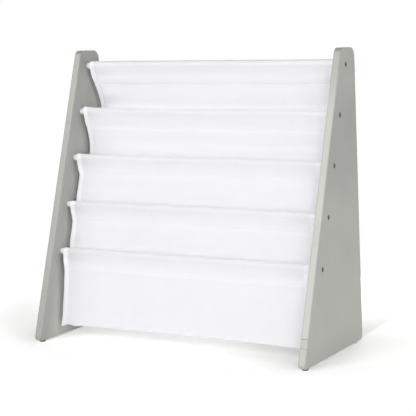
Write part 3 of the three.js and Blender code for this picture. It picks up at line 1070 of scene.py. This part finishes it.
def addLastPocket():
    # its front shows, so its bottom and its front are drawn by points of their own
    tier = lastRod - 1
    fall = falls[tier]
    rodY, rodZ = rodPlaces[lastRod]
    taken = 12   # points of the fall's end that the bottom's curve takes over
    shown = fall[:, 1] > rodZ - sling["hiddenBelow"]
    bottom = [(rodY + y * rodPitch, rodZ - z * sling["pocketDrop"]) for y, z in lastBottomShares]
    front = [(rodY + y * rodPitch, rodZ - z * sling["pocketDrop"]) for y, z in lastFrontShares]
    bottomLine = curveThrough([fall[-taken], fall[-1], *bottom], sling["points"]["bottom"])
    frontLine = curveThrough([bottom[-1], *front, belowSeam(lastRod)], sling["points"]["panel"])
    addStretch("fall", fall[shown], (tier, tier))
    addStretch("fall", fall[~shown][:-taken], (tier, tier), hidden=True)
    addStretch("bottom", bottomLine, (tier, lastRod))
    addStretch("panel", frontLine, (lastRod, lastRod))


def addTail(tier, upwards):
    y, z = seams[tier]
    t = np.linspace(0, 1, sling["points"]["tail"])
    line = np.stack([np.full(len(t), y + sling["layerPitch"]), z - sling["tail"] * (1 - t)], 1)
    addStretch("tail", line if upwards else line[::-1], (tier, tier))


addTail(0, True)
for tier in range(lastRod - 1):
    addSleeve(tier, False)
    addPocket(tier)
addSleeve(lastRod - 1, False)
addLastPocket()
addSleeve(lastRod, True)
addTail(lastRod, False)

# The boards' paint carries a painted shadow behind the cloth's edge, so they are made after its route
makeBoard("left", -1, paintFinish("left", -1))
makeBoard("right", 1, paintFinish("right", 1, hairlines=True))
print("side boards made")


def drawnRoute():
    # one dense line with what is known at each of its points
    points, facts = [], []
    for number, stretch in enumerate(route):
        line = stretch["points"]
        start, end = stretch["families"]
        family = start + np.linspace(0, 1, len(line)) * (end - start)
        points.append(line)
        facts.append([(seam, stretch["gap"], number) for seam in family])
    points, facts = np.concatenate(points), np.concatenate(facts)
    steps = np.hypot(*np.diff(points, axis=0).T)
    keep = np.concatenate([[True], steps > 1e-4])
    points, facts = points[keep], facts[keep]
    along = np.concatenate([[0], np.cumsum(np.hypot(*np.diff(points, axis=0).T))])
    even = np.arange(0, along[-1], routeStep)
    line = np.stack([np.interp(even, along, points[:, k]) for k in (0, 1)], 1)
    nearest = np.minimum(np.searchsorted(along, even), len(along) - 1)
    family = np.interp(even, along, facts[:, 0])
    return line, family, facts[nearest, 1], facts[nearest, 2].astype(int), even


def softened(line, reach):
    # Gaussian smoothing along the line, ends held
    width = int(3 * reach / routeStep)
    weights = np.exp(-0.5 * (np.arange(-width, width + 1) * routeStep / reach) ** 2)
    weights /= weights.sum()
    before, after = 2 * line[0] - line[width:0:-1], 2 * line[-1] - line[-2:-width - 2:-1]
    padded = np.concatenate([before, line, after])
    return np.stack([np.convolve(padded[:, k], weights, "valid") for k in range(line.shape[1])], 1)


def routeRows():
    line, family, gaps, number, along = drawnRoute()
    soft = sling["softening"]
    kinds = np.array([route[n]["kind"] for n in number])
    rods = np.array([route[n]["rod"] for n in number])
    # seams: where a sleeve's side meets what hangs below it
    sleeve = np.isin(kinds, ("up", "over", "down"))
    seamAlong = along[np.flatnonzero(sleeve[1:] != sleeve[:-1])]
    toSeam = np.abs(along[:, None] - seamAlong[None, :]).min(1)
    creaseAlong = along[np.flatnonzero((kinds[1:] == "panel") & (kinds[:-1] == "bottom"))[0]]
    toCrease = np.abs(along - creaseAlong)
    # bottoms are rounder than the rest, apart from the crease of the lowest one
    sharpReach, sharpShare = sling["creaseSharp"]
    rounder = softened((kinds == "bottom").astype(float)[:, None], soft["blend"])
    rounder *= np.clip(toCrease / sharpReach - sharpShare, 0, 1)[:, None]
    line = softened(line, soft["line"]) * (1 - rounder) + softened(line, soft["bottom"]) * rounder
    gaps = softened(gaps[:, None], soft["gaps"])[:, 0]
    for distance, (least, widening) in ((toSeam, sling["seamGaps"]), (toCrease, sling["creaseGaps"])):
        gaps = np.minimum(gaps, least + distance * widening)
    density = np.concatenate([[0], np.cumsum(routeStep / gaps[1:])])
    picks = np.interp(np.linspace(0, density[-1], int(density[-1]) + 1), density, along)
    index = np.minimum(np.round(picks / routeStep).astype(int), len(along) - 1)
    # layers that lie in front at a seam; on the last rod the strip comes up in front
    onFront = np.isin(kinds, ("down", "fall", "panel"))
    onFront |= (kinds == "up") & (rods == lastRod)
    onFront &= ~((kinds == "down") & (rods == lastRod))
    rows = {
        "line": line, "along": along, "family": family, "kind": kinds, "rod": rods, "toSeam": toSeam,
        "toCrease": toCrease, "front": onFront, "sleeve": sleeve, "number": number,
    }
    rows = {name: values[index] for name, values in rows.items()}
    return rows | {"seamAlong": seamAlong, "length": along[-1]}


def columnPlaces():
    half = sling["width"] / 2
    near = np.array(sling["endColumns"])
    reach = half - sling["innerStart"]
    inner = np.linspace(-reach, reach, sling["innerColumns"])
    return np.concatenate([-half + near, inner, (half - near)[::-1]])


class Waves:
    # smooth seeded noise over two measures
    def __init__(self, seed):
        self.size = (97, 89)
        self.table = np.random.default_rng(seed).uniform(-1, 1, self.size)

    def knot(self, i, j):
        return self.table[i % self.size[0], j % self.size[1]]

    def at(self, a, b):
        a, b = np.broadcast_arrays(np.asarray(a, float), np.asarray(b, float))
        ia, ib = np.floor(a).astype(int), np.floor(b).astype(int)
        fa, fb = a - ia, b - ib
        fa, fb = fa * fa * (3 - 2 * fa), fb * fb * (3 - 2 * fb)
        upper = self.knot(ia, ib) * (1 - fa) + self.knot(ia + 1, ib) * fa
        lower = self.knot(ia, ib + 1) * (1 - fa) + self.knot(ia + 1, ib + 1) * fa
        return upper * (1 - fb) + lower * fb


slow, quick, fine = (Waves(sling["seed"] + i) for i in range(3))


def eased(value, low, high):
    t = np.clip((value - low) / (high - low), 0, 1)
    return t * t * (3 - 2 * t)


def bell(value, reach):
    return np.exp(-(value / reach) ** 2)


def seamOf(family):
    # the seam whose waves a row has, or the one before it on its way to the next
    return np.floor(family + 1e-6)


def upright(rows, name):
    # one value for each row, to be used with values for each column
    return rows[name][:, None]


# In the functions below, plain numbers added inside a call of a wave only set one tier's or one
# side's noise apart from the next one's.

def hangingWave(seam, x, below):
    # slow waves of the sheets that hang from one seam, the same for both layers
    shift = seam * 7.3
    longX, longZ, longShare = sling["longWave"]
    shortX, shortZ, shortShare = sling["shortWave"]
    slant = below / sling["waveSlant"]
    swing = slow.at(x / longX + shift, below / longZ + shift) * longShare
    swing += quick.at(x / shortX + shift + slant, below / shortZ + shift) * shortShare
    return swing * sling["ripple"] * eased(below, 0, sling["waveFull"])


def sagEnds(rows, x, z):
    # pockets hang lower towards their two ends
    depth = sling["pocketDrop"] - sling["seamDrop"]
    for number, stretch in enumerate(route):
        if stretch["kind"] in ("fall", "bottom", "front", "panel"):
            tier = stretch["families"][0] - (1 if stretch["kind"] in ("front", "panel") else 0)
            here = rows["number"] == number
            share = np.clip((seams[tier + 1][1] - z[here]) / depth, 0, 1)
            z[here] -= sling["endSag"] * (share * x[here] / (sling["width"] / 2)) ** 2


def swingSheets(rows, x, y, z):
    # slow waves, blended from one seam's to the next one's round each bottom
    family, wave = upright(rows, "family"), sling["seamWave"]
    first = seamOf(family)
    blend = family - first
    swing = np.zeros_like(x)
    for seam in range(len(seams)):
        weight = np.where(first == seam, 1 - blend, 0) + np.where(first + 1 == seam, blend, 0)
        swing += weight * hangingWave(seam, x, seams[seam][1] - z)
    atSeam = fine.at(x / wave["long"] + family * 3.1, family * 5.7) * wave["high"]
    y += np.where(upright(rows, "sleeve"), 0, swing)
    y += atSeam * bell(upright(rows, "toSeam"), wave["reach"])


def pullSeams(rows, hem, y):
    # stitches pull the front layer in, and the back layer meets it
    groove = bell(upright(rows, "toSeam"), sling["seamSpan"])
    deep = np.interp(upright(rows, "family"), range(len(seams)), sling["seamGrooves"])
    inwards = deep * (1 - 0.5 * hem)
    layers = sling["thick"] + sling["seamTouch"] + 2 * sling["hemExtra"] * hem
    meeting = inwards + layers - sling["layerPitch"]
    y += groove * np.where(upright(rows, "front"), inwards, meeting)


def foldSleeve(rows, tier, x, y, z):
    half = sling["width"] / 2
    rodY, rodZ = rodPlaces[tier]
    here = rows["rod"] == tier
    x = x[here]
    down = np.clip(rodZ - z[here], 0, None)
    pucker, drag, fold = sling["pucker"], sling["dragFold"], sling["longFold"]
    level = np.clip(down / sling["seamDrop"], 0, 1)
    body = np.sin(pi * level) ** pucker["power"] * eased(down, *pucker["below"])
    patch = eased(slow.at(x / pucker["patchLong"] + tier * 9.1, tier * 3.7), *pucker["patchSpan"])
    slanted = x / pucker["long"] + down / pucker["slant"]
    small = quick.at(slanted + tier * 31, tier * 2.3 + down / pucker["change"])
    outward = pucker["high"] * small * (pucker["least"] + patch) * body
    for end in (-1, 1):
        inFrom = half + end * x
        slanted = (inFrom * drag["across"] - down * drag["down"]) / drag["pitch"]
        wave = np.sin(2 * pi * slanted + tier * 1.7 + end)
        outward += drag["high"] * wave * np.exp(-inFrom / drag["reach"]) * body
        slope = fold["slope"] + fold["slopeSwing"] * np.sin(tier * 2.4 + end)
        shown = eased(inFrom, *fold["comes"]) * (1 - eased(inFrom, *fold["goes"]))
        shown *= eased(down, *fold["below"])
        outward += fold["high"] * shown * bell(down - fold["start"] - inFrom * slope, fold["half"])
    outward = np.where(down < sling["overRodSmooth"], np.maximum(outward, 0), outward)
    lift = sling["endLift"]
    rise = lift["high"][tier] * np.exp(-(half + x) / lift["reach"])
    z[here] += rise * eased(z[here] - rodZ, *lift["heights"])
    y[here] += outward * np.sign(y[here] - rodY)


def ruffleHem(rows, fromEnd, x, y):
    ruffle = sling["ruffle"]
    side, along = np.sign(x), upright(rows, "along")
    nearEdge = bell(fromEnd, ruffle["reach"])
    wave = fine.at(along / ruffle["long"] + side * 40, side * 9 + upright(rows, "family"))
    hanging = np.where(upright(rows, "sleeve"), ruffle["onSleeve"], 1.0)
    hanging = hanging * eased(upright(rows, "toSeam"), *ruffle["below"])
    y += ruffle["high"] * wave * nearEdge * hanging
    sideWave = fine.at(along / ruffle["sideLong"] + 11, side * 5 + 2)
    x += side * nearEdge * ruffle["sideHigh"] * sideWave


def flareCorner(rows, x, z):
    nearCrease = bell(upright(rows, "toCrease"), sling["lipReach"]) * (upright(rows, "family") >= 3)
    waveHigh, waveLong = sling["lipWave"]
    lip = waveHigh * quick.at(x / waveLong, 4.4)
    for rise, place, halfWidth in sling["lip"]:
        lip += rise * bell(x - place, halfWidth)
    z += lip * nearCrease
    out, reach = sling["lipOut"]
    x -= out * bell(x + sling["width"] / 2, reach) * nearCrease


def slingSurface():
    # the middle of the cloth's thickness, its direction, and the hem's share at each point
    rows, columns = routeRows(), columnPlaces()
    x = np.broadcast_to(columns[None, :], (len(rows["along"]), len(columns))).copy()
    y = np.repeat(rows["line"][:, :1], len(columns), 1)
    z = np.repeat(rows["line"][:, 1:], len(columns), 1)
    fromEnd = sling["width"] / 2 - np.abs(x)
    outwards, inwards = sling["hemStep"]
    hem = 1 - eased(fromEnd, sling["hemWide"] - outwards, sling["hemWide"] + inwards)
    sagEnds(rows, x, z)
    swingSheets(rows, x, y, z)
    pullSeams(rows, hem, y)
    for tier in range(len(rodPlaces)):
        foldSleeve(rows, tier, x, y, z)
    ruffleHem(rows, fromEnd, x, y)
    flareCorner(rows, x, z)
    middle = np.stack([x, y, z], -1)
    facing = np.cross(np.gradient(middle, axis=0), np.gradient(middle, axis=1))
    facing /= np.linalg.norm(facing, axis=-1, keepdims=True)
    return rows, columns, middle, facing, hem, fromEnd


cloth = {
    "white": (0.9, 0.895, 0.94),
    "through": 0.4,         # light that passes a little way through it
    "throughReach": 0.006,
    "sheen": 0.25,
    "sheenRough": 0.5,
    "threads": 0.00055,     # metres from one thread to the next
    "threadBump": (0.25, 0.00012),
    "threadHigh": 0.5,      # against the slubs
    "slubs": (1, 2),        # thick places in the threads
    "slubStretch": (900, 30),   # to a metre across a thread and along it
    "slubSpans": (0.35, 0.65, 0, 0.35),
    "slubTone": 0.95,
    "crumples": (26, 4, 0.55),
    "crumpleTones": (0.988, 1.01),
    "rumples": (1, 3),
    "rumpleStretch": (22, 22, 60),
    "rumpleHigh": 0.5,      # against the crumples
    "rumpleBump": (0.2, 0.0022),
    "roughness": 0.9,
    "roughSwing": (-0.06, 0.05),
    # painted light and shade against the cloth's white: down from the middle of a rod to its seam, in
    # mm
    "sleevePaintedShading": [(-7, 0.92), (-4, 0.885), (2, 0.825), (15, 0.882), (29, 0.945), (34, 0.96)],
    "sleeveSlopes": (0.115, 0.05, 0, 0, -0.01),        # painted light, lighter downwards, top sleeve first,
    "slopeLength": 25,                                 # by that share for each such length
    "panelPaintedShading": (0.96, 0.975, 0.887, 0.887, 0.897),  # painted light and shade below the seams, top one first
    "leftDepths": (-0.02, 0.05, 0.09, 0.09, 0.13),     # painted shade beside the left hem
    "rightDepths": (-0.04, -0.03, 0.03, 0.03, 0.03),
    "leftReach": 37,
    "rightReach": 45,
    "sideSpan": (-3, 5),     # where these start, from the hem's inner edge
    "sidePower": 1.5,
    "cornerPaintedShade": 0.06,     # more painted shade at the ends of the sleeves
    "cornerAt": (10, 12),    # how far below the rod, and how wide
    "seamPaintedHighlight": (0.085, 0.04, 0.045, 0.055, 0.02),   # painted highlight along the stitches
    "seamReach": 1.8,
    "underSeamPaintedLight": (0.14, 0.05, 0, 0, 0),   # painted light just below the stitches
    "underReach": 5,
    "crestPaintedLight": 0.06,      # painted light on a sheet just above the next rod's sleeve
    "crestAt": (6, 8),       # how far above the rod, and how wide
    "creasePaintedHighlight": 0.03,      # painted highlight along the bottom fold
    "creaseReach": 2.6,
    "hemPaintedLight": {"left": 0.06, "right": 0.02},       # painted light on the doubled hem
    "hemFade": 2.5,
    "stitchPaintedShade": {"left": 0.085, "right": 0.03},   # painted shade beside its line of thread
    "stitchAt": (12, 2.0),   # how far from the edge, and how wide
    "lightest": 1.05,
    "patches": [
        # painted shade of dents near the left end: from the left edge, height, half width, half height,
        # depth
        (24, 556, 20, 11, 0.06), (28, 494, 22, 12, 0.075), (18, 466, 14, 10, 0.08),
        (14, 370, 14, 10, 0.05), (16, 274, 14, 10, 0.05), (12, 204, 12, 14, 0.1),
        (20, 172, 20, 10, 0.06),
    ],
    "creases": [(-0.02, 0.1), (0.148, 0.12)],   # fold lines from packing: x, how sharp
    "creaseHalf": 0.0016,    # half width
    "creaseBreaks": (30, 2),
    "breakSpan": (0.4, 0.6),
}


# painted light and shade of the cloth, kept in an attribute that scales its colour
def clothPaintedShading(rows, columns, middle):
    half = sling["width"] / 2
    heights = middle[..., 2]
    toSeam = upright(rows, "toSeam")

    def bySeam(name):
        return np.interp(rows["family"], range(len(seams)), cloth[name])[:, None]

    paintedShade = np.ones(heights.shape) * bySeam("panelPaintedShading")
    corner = np.zeros_like(paintedShade)
    cornerDown, cornerWide = cloth["cornerAt"]
    for tier, (_, rodZ) in enumerate(rodPlaces):
        here = rows["rod"] == tier
        down = rodZ - heights[here]
        slope = 1 + cloth["sleeveSlopes"][tier] * down / cloth["slopeLength"]
        paintedShade[here] = np.interp(down, *zip(*cloth["sleevePaintedShading"])) * slope
        corner[here] = bell(down - cornerDown, cornerWide)
    paintedShade *= 1 + bySeam("seamPaintedHighlight") * bell(toSeam, cloth["seamReach"])
    hanging = np.isin(upright(rows, "kind"), ("fall", "panel"))
    paintedShade *= 1 + hanging * bySeam("underSeamPaintedLight") * bell(toSeam, cloth["underReach"])
    crestUp, crestWide = cloth["crestAt"]
    for tier, (_, rodZ) in enumerate(rodPlaces[1:]):
        sheet = (rows["kind"] == "fall") & (seamOf(rows["family"]) == tier)
        above = heights[sheet] - rodZ
        paintedShade[sheet] *= 1 + cloth["crestPaintedLight"] * bell(above - crestUp, crestWide)
    paintedShade *= 1 + cloth["creasePaintedHighlight"] * bell(upright(rows, "toCrease"), cloth["creaseReach"])
    hemWide = sling["hemWide"]
    stitchIn, stitchWide = cloth["stitchAt"]
    # painted shade beside the hems, painted light on the doubled hem, painted shade beside its line of
    # thread
    for side, fromSide in (("left", half + columns), ("right", half - columns)):
        inside = eased(fromSide, *(hemWide + place for place in cloth["sideSpan"]))
        beyond = np.clip(fromSide - hemWide, 0, None) / cloth[f"{side}Reach"]
        depth = bySeam(f"{side}Depths") + cloth["cornerPaintedShade"] * corner
        paintedShade *= 1 - inside * np.exp(-beyond ** cloth["sidePower"]) * depth
        paintedShade *= 1 + cloth["hemPaintedLight"][side] * (1 - eased(fromSide, hemWide - cloth["hemFade"], hemWide))
        paintedShade *= 1 - cloth["stitchPaintedShade"][side] * bell(fromSide - stitchIn, stitchWide)
    for fromLeft, z, halfWide, halfHigh, depth in cloth["patches"]:
        across = bell(half + columns - fromLeft, halfWide)
        paintedShade *= 1 - depth * across * bell(heights - z, halfHigh)
    return np.minimum(paintedShade, cloth["lightest"])


def clothFaces(count, wide):
    # two layers of points, a and b, and a line of points along each rim
    a = np.arange(count * wide).reshape(count, wide)
    b = a + count * wide
    left = 2 * count * wide + np.arange(count)
    right = left + count

    def quads(p, q, r, s):
        return np.stack([p, q, r, s], -1).reshape(-1, 4)

    faces = [
        quads(a[:-1, :-1], a[1:, :-1], a[1:, 1:], a[:-1, 1:]),
        quads(b[:-1, :-1], b[:-1, 1:], b[1:, 1:], b[1:, :-1]),
        quads(a[:-1, 0], left[:-1], left[1:], a[1:, 0]),
        quads(left[:-1], b[:-1, 0], b[1:, 0], left[1:]),
        quads(a[:-1, -1], a[1:, -1], right[1:], right[:-1]),
        quads(right[:-1], right[1:], b[1:, -1], b[:-1, -1]),
        quads(a[0, :-1], a[0, 1:], b[0, 1:], b[0, :-1]),
        quads(a[-1, :-1], b[-1, :-1], b[-1, 1:], a[-1, 1:]),
    ]
    corners = [
        (a[0, 0], b[0, 0], left[0]), (a[-1, 0], left[-1], b[-1, 0]),
        (a[0, -1], right[0], b[0, -1]), (a[-1, -1], b[-1, -1], right[-1]),
    ]
    return [tuple(face) for face in np.concatenate(faces).tolist() + np.array(corners).tolist()]


def makeCloth(material):
    rows, columns, middle, facing, hem, fromEnd = slingSurface()
    count, wide = middle.shape[:2]
    thin, (sinkDeep, sinkWide) = sling["edgeThin"], sling["hemSink"]
    edge = (thin + (1 - thin) * eased(fromEnd, 0, sling["edgeEase"]))[..., None]
    stitched = (sinkDeep * bell(fromEnd - sling["hemStitch"], sinkWide))[..., None]
    faceA = middle + facing * (sling["thick"] / 2 * edge - stitched)
    extra = (sling["thick"] / 2 + sling["hemExtra"] * hem)[..., None]
    faceB = middle - facing * (extra * edge - stitched)
    rims = []
    for at, side in ((0, -1), (-1, 1)):
        out = np.array((side * sling["rimOut"], 0, 0))
        rims.append(middle[:, at] + out - facing[:, at] * sling["hemExtra"] / 2)
    points = np.concatenate([faceA.reshape(-1, 3), faceB.reshape(-1, 3), *rims])
    faces = clothFaces(count, wide)
    piece = makePiece("sling_cloth", points, faces, material)
    flat = np.stack(np.broadcast_arrays(columns[None, :], upright(rows, "along")), -1).reshape(-1, 2)
    half = sling["width"] / 2
    ends = [np.stack([np.full(count, side * half), rows["along"]], -1) for side in (-1, 1)]
    flat = np.concatenate([flat, flat, *ends]) * mm
    layer = piece.data.uv_layers.new(name="clothMap")
    corners = np.zeros(len(piece.data.loops), np.int32)
    piece.data.loops.foreach_get("vertex_index", corners)
    layer.data.foreach_set("uv", flat[corners].astype(np.float32).ravel())
    paintedShade = clothPaintedShading(rows, columns, middle)
    paintedShade = np.concatenate([paintedShade.ravel(), paintedShade.ravel(), paintedShade[:, 0], paintedShade[:, -1]])
    shades = piece.data.attributes.new("paintedShade", "FLOAT", "POINT")
    shades.data.foreach_set("value", paintedShade.astype(np.float32))
    nodes = [f"sling_sleeve_{i}" for i in range(1, 6)] + [f"sling_pocket_{i}" for i in range(1, 5)]
    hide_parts(*nodes)
    print("sling cloth:", count, "rows,", wide, "columns,", round(rows["length"]), "mm long")
    return piece, rows, faceA, faceB, facing


def clothFinish():
    weave = Finish(
        "white cloth", cloth["roughness"], Sheen_Weight=cloth["sheen"],
        Sheen_Roughness=cloth["sheenRough"], Subsurface_Weight=cloth["through"],
        Subsurface_Radius=(1, 1, 1), Subsurface_Scale=cloth["throughReach"],
    )
    flat = weave.node("UVMap", uv_map="clothMap").outputs[0]
    spot = weave.parts(flat)
    turn = pi / cloth["threads"]
    warp, weft = (weave.math("SINE", weave.times(spot[axis], turn)) for axis in ("X", "Y"))
    stretch = cloth["slubStretch"]
    slubs = [
        weave.noise(weave.stretched(flat, (*sides, 1)), *cloth["slubs"])
        for sides in (stretch, stretch[::-1])
    ]
    bothSlubs = weave.math("ADD", *slubs)
    threads = weave.math("MULTIPLY_ADD", weave.times(warp, weft), cloth["threadHigh"], bothSlubs)
    where = weave.place()
    crumple = weave.noise(where, *cloth["crumples"])
    rumple = weave.noise(weave.stretched(where, cloth["rumpleStretch"]), *cloth["rumples"])
    white = cloth["white"]
    tones = (tinted(white, factor) for factor in cloth["crumpleTones"])
    colour = weave.blend(weave.spread(crumple, *mostNoise), *tones)
    slub = weave.times(bothSlubs, 0.5)
    slubbed = weave.spread(slub, *cloth["slubSpans"])
    colour = weave.blend(slubbed, colour, tinted(white, cloth["slubTone"]))
    # painted light and shade, from the cloth's attribute
    paintedShade = weave.node("Attribute", attribute_name="paintedShade").outputs["Fac"]
    height = crumple
    broken = weave.spread(weave.noise(where, *cloth["creaseBreaks"]), *cloth["breakSpan"])
    for x, sharp in cloth["creases"]:
        ridge = weave.times(lineAt(weave, spot["X"], x, cloth["creaseHalf"]), broken)
        height = weave.math("MULTIPLY_ADD", ridge, sharp, height)
    height = weave.math("MULTIPLY_ADD", rumple, cloth["rumpleHigh"], height)
    soft = weave.bump(height, *cloth["rumpleBump"])
    bumps = weave.bump(threads, *cloth["threadBump"], under=soft)
    return weave.done(weave.scaled(colour, paintedShade), bumps, slub, cloth["roughSwing"])


thread = {
    "pitch": 3.2,
    "length": 2.3,
    "radius": 0.23,
    "sides": 5,
    # rings of one stitch: share of its length, height over the cloth, share of its radius
    "rings": [(0, -0.16, 0.55), (0.2, 0.1, 1), (0.8, 0.1, 1), (1, -0.16, 0.55)],
    "seamInset": 3,         # where the rows of thread start and end
    "hemInset": 4,
    "colours": [(0.78, 0.785, 0.8, 1), (0.92, 0.925, 0.94, 1)],
    "ply": (1, 2),
    "plyStretch": (3500, 1500, 1500),
    "plyBump": (0.3, 0.0001),
    "roughness": 0.7,
    "sheen": 0.2,
}


def stitchRun(line, outward, start, end):
    # short loops of thread along a line on the cloth, their ends drawn into it
    sides = thread["sides"]
    shares, heights, radii = (np.array(values) for values in zip(*thread["rings"]))
    along = np.concatenate([[0], np.cumsum(np.linalg.norm(np.diff(line, axis=0), axis=1))])
    first = np.arange(start, min(end, along[-1]) - thread["length"], thread["pitch"])
    at = (first[:, None] + shares * thread["length"]).ravel()

    def picked(values):
        return np.stack([np.interp(at, along, values[:, k]) for k in range(3)], 1)

    spots, ups, ahead = picked(line), picked(outward), picked(np.gradient(line, axis=0))
    ahead /= np.linalg.norm(ahead, axis=1, keepdims=True)
    ups -= ahead * (ups * ahead).sum(1, keepdims=True)
    ups /= np.linalg.norm(ups, axis=1, keepdims=True)
    across = np.cross(ahead, ups)
    spots = spots + ups * np.tile(heights, len(first))[:, None]
    turns = (2 * pi * np.arange(sides) / sides)[None, :, None]
    ring = np.cos(turns) * across[:, None, :] + np.sin(turns) * ups[:, None, :]
    size = np.tile(radii * thread["radius"], len(first))[:, None, None]
    points = (spots[:, None, :] + ring * size).reshape(-1, 3)
    faces, perStitch = [], len(shares) * sides
    for stitch in range(len(first)):
        for face in cappedFaces(sides, len(shares)):
            faces.append(tuple(stitch * perStitch + i for i in face))
    return points, faces


def makeStitches(rows, faceA, faceB, facing, material):
    def gathered(name, runs):
        points, faces, count = [], [], 0
        for run, loops in runs:
            points.append(run)
            faces += [tuple(i + count for i in f) for f in loops]
            count += len(run)
        return makePiece(name, np.concatenate(points), faces, material)

    seamRuns = []
    inset = thread["seamInset"]
    for number, place in enumerate(rows["seamAlong"]):
        row = int(np.abs(rows["along"] - place).argmin())
        # the outer side of a sleeve is face A, except on the bottom rod, where the strip comes
        # up in front
        outer, up = (faceB, -facing) if number >= 2 * lastRod else (faceA, facing)
        seamRuns.append(stitchRun(outer[row], up[row], inset, sling["width"] - inset))
    hemRuns = []
    inset = thread["hemInset"]
    column = int(np.abs(columnPlaces() + sling["width"] / 2 - sling["hemStitch"]).argmin())
    for at in (column, -1 - column):
        for face, up in ((faceA, facing), (faceB, -facing)):
            hemRuns.append(stitchRun(face[:, at], up[:, at], inset, rows["length"] - inset))
    return gathered("seam_stitches", seamRuns), gathered("hem_stitches", hemRuns)


def threadFinish():
    twist = Finish("sewing thread", thread["roughness"], Sheen_Weight=thread["sheen"])
    ply = twist.noise(twist.stretched(twist.place(), thread["plyStretch"]), *thread["ply"])
    return twist.done(twist.blend(ply, *thread["colours"]), twist.bump(ply, *thread["plyBump"]))


clothPiece, clothRows, faceA, faceB, facing = makeCloth(clothFinish())
seamStitches, hemStitches = makeStitches(clothRows, faceA, faceB, facing, threadFinish())
print("sling drawn")
